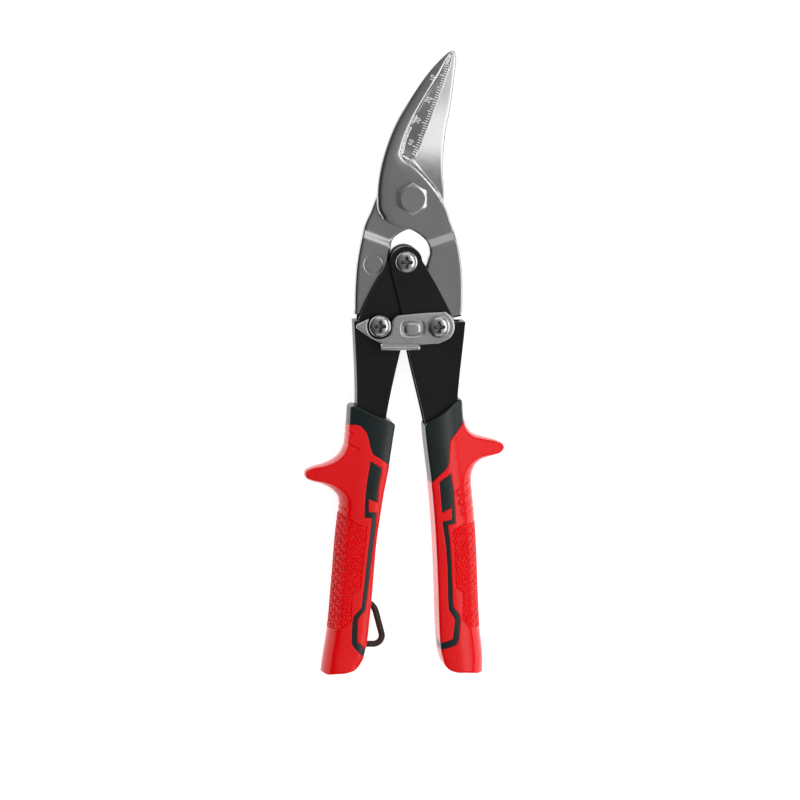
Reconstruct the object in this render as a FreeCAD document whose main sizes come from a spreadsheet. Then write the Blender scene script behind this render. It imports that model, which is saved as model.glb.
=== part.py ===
import FreeCAD, Part
import math
import os

# Compound-lever aviation snips, closed and latched, lying on their back.
# Frame: +Y towards the blade tips, +X to the right seen from the front, +Z out of the
# front face. The origin is below the middle of the bounding box, on the resting plane.
# Outlines are given around the main pivot, which is (0, 0) of every sketch.

V = FreeCAD.Vector
doc = FreeCAD.newDocument("aviation_snips")

# ---------------------------------------------------------------- driving dimensions, mm
SIZES = {
    # where the main pivot stands in the part's frame
    "pivot_x": 2.4, "pivot_y": 64.57,
    # linkage pivots, measured from the main pivot
    "handle_pivot_x": -2.2, "handle_pivot_y": -24.9,
    "left_tang_x": -12.8, "left_tang_y": -49.7,
    "right_tang_x": 10.3, "right_tang_y": -50.1,
    # heights above the resting plane
    "mid_height": 10.5, "grip_thickness": 21.0,
    # blades
    "blade_thickness": 5.0, "blade_gap": 0.1, "joggle": 1.5, "scale_recess": 1.6,
    # channels
    "channel_inner": 8.0, "channel_wall": 1.8, "ear_gap": 0.2,
    # main pivot bolt
    "bolt_radius": 4.0, "running_clearance": 0.05, "hex_across_flats": 11.0,
    "bolt_head_height": 5.6, "nut_across_flats": 13.0, "nut_height": 4.0,
    "washer_thickness": 1.2, "washer_radius": 7.6,
    "head_chamfer_radius": 4.7, "head_chamfer_drop": 1.6, "head_chamfer_run": 6.0,
    "nut_collar_height": 1.4, "nut_ring_width": 1.4,
    # linkage screws
    "screw_radius": 2.5, "screw_head_radius": 4.35, "screw_head_height": 1.9,
    "bush_radius": 4.0, "spacer_radius": 5.8, "spacer_thickness": 1.4,
    "open_pivot_clearance": 0.45, "low_nut_height": 2.6, "low_nut_across_flats": 8.0,
    "screw_overhang": 2.9, "recess_span": 4.6, "recess_arm": 1.1, "recess_depth": 1.4,
    # latch
    "latch_thickness": 1.5, "wave_washer_thickness": 0.6, "latch_collar_radius": 3.4,
    "latch_boss_height": 0.6, "thumb_tab_rise": 3.2,
    # opening spring and hanging loop
    "spring_wire_radius": 0.75, "spring_coil_radius": 5.0, "loop_wire_radius": 1.25,
}
sheet = doc.addObject("Spreadsheet::Sheet", "Sizes")
for row, (alias, size) in enumerate(SIZES.items(), start=1):
    sheet.set("A%d" % row, alias)
    sheet.set("B%d" % row, str(size))
    sheet.setAlias("B%d" % row, alias)
doc.recompute()


def value(alias):
    return float(sheet.get(alias))


# Heights that several pieces share, as sheet expressions.
CHANNEL_WIDTH = "(Sizes.channel_inner + 2 * Sizes.channel_wall)"
EAR_SHIFT = "((Sizes.channel_wall + Sizes.ear_gap) / 2)"
RIGHT_BASE = "(Sizes.mid_height - %s / 2 + %s)" % (CHANNEL_WIDTH, EAR_SHIFT)
LEFT_BASE = "(Sizes.mid_height - %s / 2 - %s)" % (CHANNEL_WIDTH, EAR_SHIFT)
FRONT_BLADE_BASE = "(Sizes.mid_height + Sizes.blade_gap / 2)"
REAR_BLADE_BASE = "(Sizes.mid_height - Sizes.blade_gap / 2 - Sizes.blade_thickness)"
LATCH_BASE = "(%s + %s + Sizes.wave_washer_thickness)" % (RIGHT_BASE, CHANNEL_WIDTH)
HEAD_SEAT = "(%s + Sizes.latch_thickness + 0.15)" % LATCH_BASE


# ---------------------------------------------------------------- helpers
parts = []


def new_body(label, height="0", x="0", y="0"):
    """A body whose own origin is at (x, y, height) from the main pivot on the rest plane."""
    body = doc.addObject("PartDesign::Body", label)
    body.Label = label
    body.setExpression("Placement.Base.x", "Sizes.pivot_x + %s" % x)
    body.setExpression("Placement.Base.y", "Sizes.pivot_y + %s" % y)
    body.setExpression("Placement.Base.z", height)
    parts.append(body)
    return body


def new_sketch(body, name, height="0", plane="XY_Plane"):
    sketch = body.newObject("Sketcher::SketchObject", name)
    origin_plane = [f for f in body.Origin.OriginFeatures if f.Role == plane][0]
    sketch.AttachmentSupport = (origin_plane, [""])
    sketch.MapMode = "FlatFace"
    sketch.setExpression("AttachmentOffset.Base.z", height)
    return sketch


def add_outline(sketch, stretches):
    """Close an outline from stretches: two points are a line, more are a smooth curve.
    Each stretch starts where the one before it ended."""
    pen = stretches[-1][-1]
    for stretch in stretches:
        points = [V(*pen, 0)] + [V(*p, 0) for p in stretch if p != pen]
        if len(points) == 2:
            sketch.addGeometry(Part.LineSegment(points[0], points[1]))
        else:
            curve = Part.BSplineCurve()
            curve.interpolate(points)
            sketch.addGeometry(curve)
        pen = stretch[-1]


def add_circle(sketch, radius, x=0.0, y=0.0):
    sketch.addGeometry(Part.Circle(V(x, y, 0), V(0, 0, 1), radius))


def add_polygon(sketch, points):
    for start, end in zip(points, points[1:] + points[:1]):
        sketch.addGeometry(Part.LineSegment(V(*start, 0), V(*end, 0)))


def hexagon(across_flats, turn=90.0):
    corner = across_flats / math.sqrt(3)
    angles = [math.radians(turn + 60 * i) for i in range(6)]
    return [(corner * math.cos(a), corner * math.sin(a)) for a in angles]


def pad(body, sketch, length, reverse=False):
    feature = body.newObject("PartDesign::Pad", sketch.Name + "_pad")
    feature.Profile = sketch
    feature.Reversed = reverse
    feature.setExpression("Length", length)
    return feature


def pocket(body, sketch, depth, upward=True):
    """Cut from the sketch plane, upward or downward, and check that it cut something."""
    doc.recompute()
    before = body.Shape.Volume
    feature = body.newObject("PartDesign::Pocket", sketch.Name + "_pocket")
    feature.Profile = sketch
    feature.Reversed = upward
    feature.setExpression("Length", depth)
    doc.recompute()
    assert body.Shape.Volume < before - 1e-3, sketch.Name + " cut nothing"
    return feature


def turn(body, name, profile, groove=False):
    """Revolve a profile of (radius, height) points about the body's own Z axis."""
    sketch = new_sketch(body, name, plane="XZ_Plane")
    add_polygon(sketch, profile)
    kind = "PartDesign::Groove" if groove else "PartDesign::Revolution"
    doc.recompute()
    before = body.Shape.Volume if groove else 0
    feature = body.newObject(kind, name + "_turned")
    feature.Profile = sketch
    feature.ReferenceAxis = (sketch, ["V_Axis"])
    feature.Angle = 360
    doc.recompute()
    assert not groove or body.Shape.Volume < before - 1e-3, name + " cut nothing"
    return feature


def cross_recess(body, name):
    """The cross-head recess that a screwdriver fits, cut down into a screw's head."""
    arm = value("recess_arm") / 2
    reach = value("recess_span") / 2
    sketch = new_sketch(body, name, "Sizes.screw_head_height + 0.5")
    corner = [(reach, -arm), (reach, arm), (arm, arm)]
    points = []
    for quarter in range(4):
        c, s = [(1, 0), (0, 1), (-1, 0), (0, -1)][quarter]
        points += [(c * px - s * py, s * px + c * py) for px, py in corner]
    add_polygon(sketch, points)
    pocket(body, sketch, "Sizes.recess_depth + 0.5", upward=False)


def dome(radius, height, steps=6):
    """Points over a domed head from its rim at half height to its crown on the axis."""
    points = []
    for i in range(steps + 1):
        a = math.radians(90 * i / steps)
        points.append((radius * math.cos(a) ** 0.8, height * (0.45 + 0.55 * math.sin(a))))
    points[-1] = (0.0, height)
    return points


P = (value("handle_pivot_x"), value("handle_pivot_y"))
QL = (value("left_tang_x"), value("left_tang_y"))
QR = (value("right_tang_x"), value("right_tang_y"))
LOOSE = value("running_clearance")

# ---------------------------------------------------------------- blades
# Front blade: spine on the left, cutting edge on the right, tang running down the right.
FRONT_BLADE = [
    [(15.6, 57.5), (15.1, 57.9)],
    [(13.3, 56.8), (11, 54.7), (6.8, 50), (-0.4, 40), (-6.5, 30), (-10.6, 20), (-13.2, 10),
     (-14.1, 0), (-13.6, -5)],
    [(-12, -7.8), (-10, -9.2), (-5, -11.2), (-0.8, -12.3), (2.9, -14.5), (6, -18)],
    [(9, -17.2), (15.8, -13.4)],
    [(14.6, -8.6), (12.6, -2.5), (9.2, 4.4), (4.6, 10.2), (0.9, 15.2)],
    [(4.7, 25), (8.7, 35), (12.6, 45), (14.2, 50), (15.3, 55), (15.6, 57.5)],
]
FRONT_TANG = [
    [(9.6, -12.4), (3.4, -15.4)],
    [(6, -18), (6.8, -21.4), (6, -24.5)],
    [(4.6, -30), (4.1, -44), (4.1, -50.1)],
    [(6.1, -54.7), (10.3, -56.3), (14.5, -54.7), (16.5, -50.1)],
    [(16.4, -47.1)],
    [(19.6, -46.5)],
    [(19.8, -38), (19.2, -25), (17.7, -17), (15.4, -10.6)],
    [(9.6, -12.4)],
]
REAR_BLADE = [
    [(16.4, 57.4), (15.5, 57.7)],
    [(13.5, 54.5), (10.5, 45), (6.6, 35), (2.6, 25), (-1.5, 15.5)],
    [(-8, 10), (-12.4, 4.6), (-14.8, -1)],
    [(-16.3, -5), (-18.6, -10), (-19.4, -12.9)],
    [(-8.4, -16.9)],
    [(-7.4, -15.5), (-5, -13.7), (-2.2, -12.4)],
    [(2.5, -12.4), (8, -9.6), (11.4, -4.8), (12.4, 0)],
    [(12.1, 10), (13.1, 25), (14.9, 35), (16.8, 50), (17.1, 54.5), (16.4, 57.4)],
]
REAR_TANG = [
    [(-4.9, -13.6), (-18.2, -9)],
    [(-20, -15), (-21.9, -25), (-22.7, -35), (-22.9, -45.2)],
    [(-19.6, -46.1)],
    [(-18.9, -49.7)],
    [(-17.0, -54.2), (-12.8, -55.9), (-8.6, -54.2), (-6.7, -49.7)],
    [(-7.8, -44), (-9.7, -30), (-9.7, -25)],
    [(-8.9, -20), (-7.4, -15.5), (-4.9, -13.6)],
]
SCALE_FLAT = [
    [(17.5, 60), (13.9, 56.2)],
    [(10.9, 50), (4.9, 40), (-0.4, 30), (-4.7, 17.5)],
    [(0.9, 14.9)],
    [(6, 15)],
    [(17.5, 60)],
]
BOLT_HOLE = value("bolt_radius") + LOOSE
BUSH_HOLE = value("bush_radius") + LOOSE


def blade(label, base, blade_outline, tang_outline, tang_shift, tang_hole):
    body = new_body(label, base)
    flat = new_sketch(body, label + "_flat")
    add_outline(flat, blade_outline)
    add_circle(flat, BOLT_HOLE)
    pad(body, flat, "Sizes.blade_thickness")
    tang = new_sketch(body, label + "_tang", "%s * Sizes.joggle" % tang_shift)
    add_outline(tang, tang_outline)
    add_circle(tang, BUSH_HOLE, *tang_hole)
    pad(body, tang, "Sizes.blade_thickness")
    return body


front_blade = blade("front_blade", FRONT_BLADE_BASE, FRONT_BLADE, FRONT_TANG, -1, QR)
scale_flat = new_sketch(front_blade, "scale_flat", "Sizes.blade_thickness")
add_outline(scale_flat, SCALE_FLAT)
pocket(front_blade, scale_flat, "Sizes.scale_recess", upward=False)
rear_blade = blade("rear_blade", REAR_BLADE_BASE, REAR_BLADE, REAR_TANG, 1, QL)

# ---------------------------------------------------------------- main pivot
HEAD_BASE = "(%s + Sizes.blade_thickness + 0.02)" % FRONT_BLADE_BASE
bolt = new_body("pivot_bolt", HEAD_BASE)
head = new_sketch(bolt, "bolt_head")
add_polygon(head, hexagon(value("hex_across_flats")))
pad(bolt, head, "Sizes.bolt_head_height")
shank = new_sketch(bolt, "bolt_shank")
add_circle(shank, value("bolt_radius"))
pad(bolt, shank, "%s - 0.6" % HEAD_BASE, reverse=True)
rim, drop = value("head_chamfer_radius"), value("head_chamfer_drop")
far = rim + value("head_chamfer_run")
top = value("bolt_head_height")
turn(bolt, "head_chamfer", [(rim, top + 1), (rim, top), (far, top - drop), (far, top + 1)],
     groove=True)

WASHER_TOP = "(%s - 0.05)" % REAR_BLADE_BASE
washer = new_body("pivot_washer", "%s - Sizes.washer_thickness" % WASHER_TOP)
ring = new_sketch(washer, "washer_ring")
add_circle(ring, value("washer_radius"))
add_circle(ring, BOLT_HOLE)
pad(washer, ring, "Sizes.washer_thickness")

nut = new_body("pivot_nut")
collar = new_sketch(nut, "nut_collar")
add_circle(collar, value("nut_across_flats") / 2 - 0.3)
add_circle(collar, value("bolt_radius") + value("nut_ring_width"))
pad(nut, collar, "Sizes.nut_collar_height")
hexes = new_sketch(nut, "nut_hexagon", "Sizes.nut_collar_height")
add_polygon(hexes, hexagon(value("nut_across_flats"), 75.0))
add_circle(hexes, value("bolt_radius") + 0.02)
pad(nut, hexes, "%s - Sizes.washer_thickness - Sizes.nut_collar_height - 0.02" % WASHER_TOP)

insert = new_body("pivot_nut_insert", "0.2")
ring = new_sketch(insert, "insert_ring")
add_circle(ring, value("bolt_radius") + value("nut_ring_width") - 0.02)
add_circle(ring, value("bolt_radius") + 0.02)
pad(insert, ring, "Sizes.nut_collar_height - 0.22")

# ---------------------------------------------------------------- handle channels
# Each outline is the side view of a folded channel: an ear around the handle pivot, which
# widens to a U-section whose web stands on the outer side and runs down inside the grip.
RIGHT_OUTER = [(21, -48.5), (19.8, -60), (18.2, -75), (17.5, -88), (17.7, -100),
               (19.5, -120), (21, -140), (21.8, -160), (22.2, -174)]
RIGHT_INNER = [(12.2, -174), (11.8, -160), (11, -140), (9.7, -120), (7.2, -100),
               (4.9, -87), (2.1, -75), (-1.4, -60)]
LEFT_OUTER = [(-22.5, -48), (-21.9, -60), (-21.4, -75), (-21.8, -88), (-23.5, -100),
              (-26, -120), (-28.2, -140), (-29.8, -160), (-31, -174)]
LEFT_INNER = [(-21.2, -174), (-19.8, -160), (-17.8, -140), (-15.2, -120), (-11.9, -100),
              (-10, -86), (-7.9, -75), (-4.4, -60)]
EAR_RADIUS = 6.2


def ear_arc(side):
    """Points over the top of the ear, from its outer to its inner side."""
    angles = [5, 45, 90, 135, 185]
    points = [(P[0] + side * EAR_RADIUS * math.cos(math.radians(a)),
               P[1] + EAR_RADIUS * math.sin(math.radians(a))) for a in angles]
    return points


RIGHT_EAR_OUTER = [(10, -34.7), (16.4, -47.4)]
RIGHT_EAR_INNER = [(-7.2, -32), (-5, -40.5), (-3.2, -50), (-1.4, -60)]
LEFT_EAR_OUTER = [(-15, -35), (-20.6, -46.9)]
LEFT_EAR_INNER = [(2.8, -32), (1.2, -40.5), (-1.2, -50), (-4.4, -60)]


def inset(points, distance):
    """The same row of points, moved sideways."""
    return [(x + distance, y) for x, y in points]


def channel(label, base, side, outer, inner, ear_outer, ear_inner, tang, pivot_hole):
    body = new_body(label, base)
    arc = ear_arc(side)
    plate = new_sketch(body, label + "_side")
    corner = (ear_outer[-1][0], outer[0][1])
    add_outline(plate, [outer, [inner[0]], inner[1:], ear_inner[::-1][1:] + [arc[-1]],
                        arc[::-1][1:], ear_outer, [corner], [outer[0]]])
    add_circle(plate, pivot_hole, *P)
    add_circle(plate, value("screw_radius") + LOOSE, *tang)
    pad(body, plate, CHANNEL_WIDTH)
    wall = value("channel_wall")
    hollow = new_sketch(body, label + "_hollow", "Sizes.channel_wall")
    web = inset(outer, -side * wall)
    foot, reach = (web[-1][0], web[-1][1] - 5), -side * 60
    add_outline(hollow, [web, [foot], [(reach, foot[1])], [(reach, 0)],
                         [(side * 40, 0)], [(side * 40, outer[0][1] + 0.6)],
                         [(web[0][0], outer[0][1] + 0.6)], [web[0]]])
    pocket(body, hollow, "Sizes.channel_inner")
    return body


SLEEVE_RADIUS = value("screw_radius") + 1.0
right_handle = channel("right_handle", RIGHT_BASE, 1, RIGHT_OUTER, RIGHT_INNER,
                       RIGHT_EAR_OUTER, RIGHT_EAR_INNER, QR, value("screw_radius") + LOOSE)
left_handle = channel("left_handle", LEFT_BASE, -1, LEFT_OUTER, LEFT_INNER,
                      LEFT_EAR_OUTER, LEFT_EAR_INNER, QL,
                      SLEEVE_RADIUS + value("open_pivot_clearance"))


def round_web(body, side):
    """Fold radius along the two long outer edges of a channel's web."""
    doc.recompute()
    box = body.Shape.BoundBox
    names = []
    for number, edge in enumerate(body.Shape.Edges, start=1):
        b = edge.BoundBox
        on_face = abs(b.ZMin - b.ZMax) < 1e-4 and min(abs(b.ZMin - box.ZMin),
                                                      abs(b.ZMin - box.ZMax)) < 1e-4
        outer = b.XMax > 17.5 + value("pivot_x") if side > 0 else b.XMin < -23 + value("pivot_x")
        if on_face and b.YLength > 100 and outer:
            names.append("Edge%d" % number)
    fold = body.newObject("PartDesign::Fillet", body.Label + "_fold")
    fold.Base = (body.Tip, names)
    fold.setExpression("Radius", "Sizes.channel_wall * 0.9")
    doc.recompute()
    assert len(names) == 2, body.Label


round_web(right_handle, 1)
round_web(left_handle, -1)

# ---------------------------------------------------------------- linkage screws and nuts
RIGHT_TOP = "(%s + %s)" % (RIGHT_BASE, CHANNEL_WIDTH)
LEFT_TOP = "(%s + %s)" % (LEFT_BASE, CHANNEL_WIDTH)


def height_of(expression):
    """A height expression worked out as a number."""
    probe = doc.addObject("App::FeaturePython", "probe")
    probe.addProperty("App::PropertyFloat", "height")
    probe.setExpression("height", expression)
    doc.recompute()
    number = probe.height
    doc.removeObject(probe.Name)
    return number


def screw(label, place, seat, last_ear, collar_end=None):
    """Domed cross-head screw whose head sits at seat and whose shank runs out below the
    last ear. A collar under the head, if there is one, reaches down to collar_end."""
    x, y = place
    body = new_body(label, seat, str(x), str(y))
    radius = value("screw_radius")
    head_radius, head_height = value("screw_head_radius"), value("screw_head_height")
    length = height_of("%s - (%s - Sizes.screw_overhang)" % (seat, last_ear))
    profile = [(0, -length), (radius - 0.4, -length), (radius, -length + 0.4)]
    if collar_end:
        drop = height_of("%s - %s" % (seat, collar_end))
        collar_radius = value("latch_collar_radius")
        profile += [(radius, -drop), (collar_radius, -drop), (collar_radius, 0)]
    else:
        profile += [(radius, 0)]
    profile += [(head_radius, 0)] + dome(head_radius, head_height)
    turn(body, label + "_profile", profile)
    cross_recess(body, label + "_recess")
    return body


def low_nut(label, place, ear_bottom):
    x, y = place
    body = new_body(label, "%s - Sizes.low_nut_height - 0.02" % ear_bottom, str(x), str(y))
    sketch = new_sketch(body, label + "_hexagon")
    add_polygon(sketch, hexagon(value("low_nut_across_flats"), 80.0))
    add_circle(sketch, value("screw_radius") + 0.02)
    pad(body, sketch, "Sizes.low_nut_height")
    return body


def ring_part(label, place, base, outer, inner, thickness):
    """A flat ring: a washer, spacer, bush or sleeve."""
    x, y = place
    body = new_body(label, base, str(x), str(y))
    sketch = new_sketch(body, label + "_ring")
    add_circle(sketch, outer)
    add_circle(sketch, inner)
    pad(body, sketch, thickness)
    return body


SCREW_HOLE = value("screw_radius") + LOOSE
screw("right_tang_screw", QR, HEAD_SEAT, RIGHT_BASE, collar_end=RIGHT_TOP)
screw("left_tang_screw", QL, HEAD_SEAT, LEFT_BASE)
screw("handle_pivot_screw", P, "(%s + 0.02)" % RIGHT_TOP, LEFT_BASE)
low_nut("right_tang_nut", QR, RIGHT_BASE)
low_nut("left_tang_nut", QL, LEFT_BASE)
low_nut("handle_pivot_nut", P, "(%s - 0.1)" % LEFT_BASE)
for side, place, base in (("right", QR, RIGHT_BASE), ("left", QL, LEFT_BASE)):
    inside = "(%s + Sizes.channel_wall)" % base
    ring_part(side + "_tang_bush", place, "%s + 0.02" % inside, value("bush_radius"),
              SCREW_HOLE, "Sizes.channel_inner - 0.04")
    for name, lift in (("rear", "0.02"), ("front", "Sizes.channel_inner - "
                                          "Sizes.spacer_thickness - 0.02")):
        ring_part("%s_tang_%s_spacer" % (side, name), place, "%s + %s" % (inside, lift),
                  value("spacer_radius"), BUSH_HOLE, "Sizes.spacer_thickness")
# The sleeve stands on the right handle's rear ear and carries the left handle's ears.
ring_part("handle_pivot_sleeve", P, "%s + Sizes.channel_wall + 0.02" % RIGHT_BASE,
          SLEEVE_RADIUS, SCREW_HOLE, "Sizes.channel_inner - 0.04")
ring_part("handle_pivot_collar", P, "%s - 0.1" % LEFT_BASE, SLEEVE_RADIUS, SCREW_HOLE,
          "%s - %s + 0.08" % (RIGHT_BASE, LEFT_BASE))

# ---------------------------------------------------------------- latch
LATCH = [
    [(-20, -48.2), (-17, -46.7)],
    [(-17.6, -49.7), (-16.2, -53.4), (-12.8, -54.7), (-9.4, -53.4), (-8.0, -49.7), (-8, -48)],
    [(-7.2, -46.8), (-5.8, -45.7), (-5, -45.5)],
    [(4, -44.7), (13, -44.3)],
    [(15.2, -46.2), (16.6, -50.1), (15.2, -54.2), (10.3, -56.9)],
    [(2.7, -57.3)],
    [(-9.5, -57.3)],
    [(-12.5, -56.5), (-15.5, -55), (-20, -51.8), (-22, -50.3)],
    [(-21.7, -49.2), (-20, -48.2)],
]
latch = new_body("latch_plate", LATCH_BASE)
plate = new_sketch(latch, "latch_outline")
add_outline(plate, LATCH)
add_circle(plate, value("latch_collar_radius") + LOOSE, *QR)
pad(latch, plate, "Sizes.latch_thickness")
boss = new_sketch(latch, "latch_boss", "Sizes.latch_thickness")
add_polygon(boss, [(-2.5, -48.6), (4.2, -49.2), (3.6, -53.6), (-3.0, -53.0)])
pad(latch, boss, "Sizes.latch_boss_height")
tab = new_sketch(latch, "thumb_tab")
add_polygon(tab, [(-12.2, -57.2), (2.7, -57.2), (2.7, -58.9), (-12.2, -58.9)])
pad(latch, tab, "Sizes.latch_thickness + Sizes.thumb_tab_rise")

ring_part("latch_wave_washer", QR, "%s + 0.05" % RIGHT_TOP, 5.6,
          value("latch_collar_radius") + LOOSE, "Sizes.wave_washer_thickness - 0.1")

# ---------------------------------------------------------------- opening spring
# A torsion spring wound round the handle pivot's sleeve; its legs push the tangs apart.
coil = value("spring_coil_radius")
wire = value("spring_wire_radius")
turns = 2.0
pitch = 2 * wire + 0.08
coil_base = height_of("%s + Sizes.channel_wall" % RIGHT_BASE) + wire + 0.2
coil_height = pitch * (turns + 0.5)
leg_length = 13.0
helix = Part.makeHelix(pitch, coil_height, coil)
right_leg = Part.makeLine(V(coil, -leg_length, 0), V(coil, 0, 0))
left_leg = Part.makeLine(V(-coil, 0, coil_height), V(-coil, -leg_length, coil_height))
spring_path = Part.Wire([right_leg] + helix.Edges + [left_leg])
profile = Part.Wire(Part.makeCircle(wire, V(coil, -leg_length, 0), V(0, 1, 0)))
spring_shape = spring_path.makePipeShell([profile], True, True, 0)
spring = doc.addObject("Part::Feature", "opening_spring")
spring.Label = "opening_spring"
spring.Shape = spring_shape
spring.setExpression("Placement.Base.x", "Sizes.pivot_x + Sizes.handle_pivot_x")
spring.setExpression("Placement.Base.y", "Sizes.pivot_y + Sizes.handle_pivot_y")
spring.Placement.Base.z = coil_base
parts.append(spring)

# ---------------------------------------------------------------- hanging loop
# A bent wire whose two ends are moulded into the palm side of the left grip.
loop_radius = value("loop_wire_radius")
LOOP_PATH = [(-18.3, -158.7), (-14.4, -160.1), (-10.3, -175.8), (-21.0, -175.8)]
LOOP_BENDS = [6.0, 3.3]


def bent_wire(points, bends, radius, height):
    """Round wire along straight runs joined by tangent arcs."""
    corners = [V(x, y, height) for x, y in points]
    edges = []
    pen = corners[0]
    for before, corner, after, bend in zip(corners, corners[1:], corners[2:], bends):
        into, out = (corner - before).normalize(), (after - corner).normalize()
        half_turn = into.getAngle(out) / 2
        run_in = bend * math.tan(half_turn)
        middle = corner + (out - into).normalize() * bend * (1 / math.cos(half_turn) - 1)
        entry, leave = corner - into * run_in, corner + out * run_in
        edges.append(Part.LineSegment(pen, entry).toShape())
        edges.append(Part.Arc(entry, middle, leave).toShape())
        pen = leave
    edges.append(Part.LineSegment(pen, corners[-1]).toShape())
    path = Part.Wire(edges)
    along = corners[1] - corners[0]
    section = Part.Wire(Part.makeCircle(radius, corners[0], along))
    return path.makePipeShell([section], True, False)


loop_height = value("mid_height")
loop_shape = bent_wire(LOOP_PATH, LOOP_BENDS, loop_radius, loop_height)
loop = doc.addObject("Part::Feature", "hang_loop")
loop.Label = "hang_loop"
loop.Shape = loop_shape
loop.setExpression("Placement.Base.x", "Sizes.pivot_x")
loop.setExpression("Placement.Base.y", "Sizes.pivot_y")
parts.append(loop)

# ---------------------------------------------------------------- grips
# Each grip is a two-shot moulding: a dark core with a collar round the channel's mouth,
# and a red cover over it with a guard that stands out sideways.
LEFT_COLLAR_RIM = [(-25.3, -80.3), (-22, -80.8), (-15, -84.5), (-10.3, -86.1), (-6.8, -88.3)]
LEFT_SPLIT = [(-26.2, -88.3), (-22, -88.3), (-18.3, -91), (-16.8, -97), (-12, -102.2),
              (-9.0, -104.2)]
LEFT_COLLAR_INNER = [(-7.7, -95), (-9.0, -104.2)]
LEFT_COLLAR_OUTER = [(-25.9, -86), (-25.3, -80.3)]
LEFT_INNER_EDGE = [(-10.2, -110), (-12, -120), (-14.6, -140), (-16.4, -160), (-18.1, -175),
                   (-20.3, -182), (-24.8, -185)]
LEFT_BOTTOM = [(-30, -186.5), (-34.4, -186.7), (-36.2, -185.3)]
LEFT_OUTER_EDGE = [(-34.9, -175), (-33.25, -160), (-31.5, -140), (-30.2, -125),
                   (-29.3, -119), (-30.8, -115), (-36, -111.4), (-40.9, -109.9), (-41.9, -107.7)]
LEFT_GUARD_TOP = [(-40.7, -105.3), (-35, -103.7), (-29.5, -100.6), (-27, -95.2), (-26.2, -88.3)]

RIGHT_COLLAR_RIM = [(3.1, -89.6), (5, -87.8), (10, -85.2), (17, -79.8), (19.6, -78.9)]
RIGHT_COLLAR_OUTER = [(19.8, -83), (20.6, -87.6)]
RIGHT_SPLIT = [(20.6, -87.6), (17, -92.3), (14.5, -96), (14.2, -103.5), (10, -108.9),
               (5.8, -111.8)]
RIGHT_COLLAR_INNER = [(4.1, -100), (3.1, -89.6)]
RIGHT_INNER_EDGE = [(10.4, -181), (9.5, -178), (8.8, -170), (8.4, -155), (7.8, -140),
                    (6.6, -120), (5.8, -111.8)]
RIGHT_BOTTOM = [(27.2, -187), (22, -186.9), (14.5, -185.6), (10.4, -181)]
RIGHT_OUTER_EDGE = [(22.8, -109), (23.5, -120), (24.9, -135), (26.6, -160), (28.3, -180),
                    (28.6, -186.2), (27.2, -187)]
RIGHT_GUARD = [(21.8, -90), (25, -92.4), (30, -94.2), (35.7, -96.2), (36.85, -98.2),
               (35.75, -100), (28, -102.2), (24.2, -104.8), (22.8, -109)]


def prism(stretches, low, high):
    """A straight-sided solid of an outline between two heights."""
    sketch = doc.addObject("Sketcher::SketchObject", "outline")
    add_outline(sketch, stretches)
    doc.recompute()
    face = Part.Face(sketch.Shape.Wires[0])
    solid = face.extrude(V(0, 0, high - low))
    solid.translate(V(0, 0, low))
    doc.removeObject(sketch.Name)
    return solid


def cavity(outer, inner, base):
    """The room that a channel takes up inside its grip."""
    low = height_of(base)
    high = low + height_of(CHANNEL_WIDTH)
    return prism([outer, [inner[0]], inner[1:], [outer[0]]], low, high)


def inner_core(outer, inner, side):
    """The dark core inside the cover: a sleeve round the channel below the collar."""
    wall = 1.6
    grown_outer = inset(outer, side * wall)
    grown_inner = inset(inner, -side * wall)
    foot = 2.0
    low_outer = [(x, y - foot) if i == len(grown_outer) - 1 else (x, y)
                 for i, (x, y) in enumerate(grown_outer)]
    low_inner = [(x, y - foot) if i == 0 else (x, y) for i, (x, y) in enumerate(grown_inner)]
    return prism([low_outer, [low_inner[0]], low_inner[1:], [low_outer[0]]], 2.2,
                 value("grip_thickness") - 2.2)


thickness = value("grip_thickness")
LEFT_WINDOW = [[(-16.7, -103.4), (-12.4, -106)], [(-13.5, -115), (-14, -122)],
               [(-18.6, -122)], [(-18.1, -112), (-16.7, -103.4)]]
RIGHT_WINDOW = [[(15.0, -107.6), (15.8, -112), (16.6, -124)], [(11.6, -124)],
                [(11, -119), (10.2, -111.4)], [(15.0, -107.6)]]


def grip(side_name, side, base, outer, inner, collar, cover, window, held=()):
    """Both pieces of one grip, with room for the channel and for whatever else they hold."""
    room = [cavity(outer, inner, base)] + list(held)
    sleeve_outer = [p for p in outer if p[1] < -85]
    sleeve_inner = [p for p in inner if p[1] < -85]
    collar_solid = prism(collar, 0.8, thickness - 0.8)
    cover_solid = prism(cover, 0.0, thickness)
    sleeve = inner_core(sleeve_outer, sleeve_inner, side)
    boss = prism(window, 1.2, thickness - 1.2)
    core_shape = collar_solid.fuse([sleeve.cut(collar_solid), boss]).cut(room)
    cover_shape = cover_solid.cut([collar_solid, sleeve, boss] + room)
    for label, shape in ((side_name + "_grip_core", core_shape),
                         (side_name + "_grip_cover", cover_shape)):
        piece = doc.addObject("Part::Feature", label)
        piece.Label = label
        piece.Shape = max(shape.Solids, key=lambda solid: solid.Volume)
        piece.setExpression("Placement.Base.x", "Sizes.pivot_x")
        piece.setExpression("Placement.Base.y", "Sizes.pivot_y")
        parts.append(piece)


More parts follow.
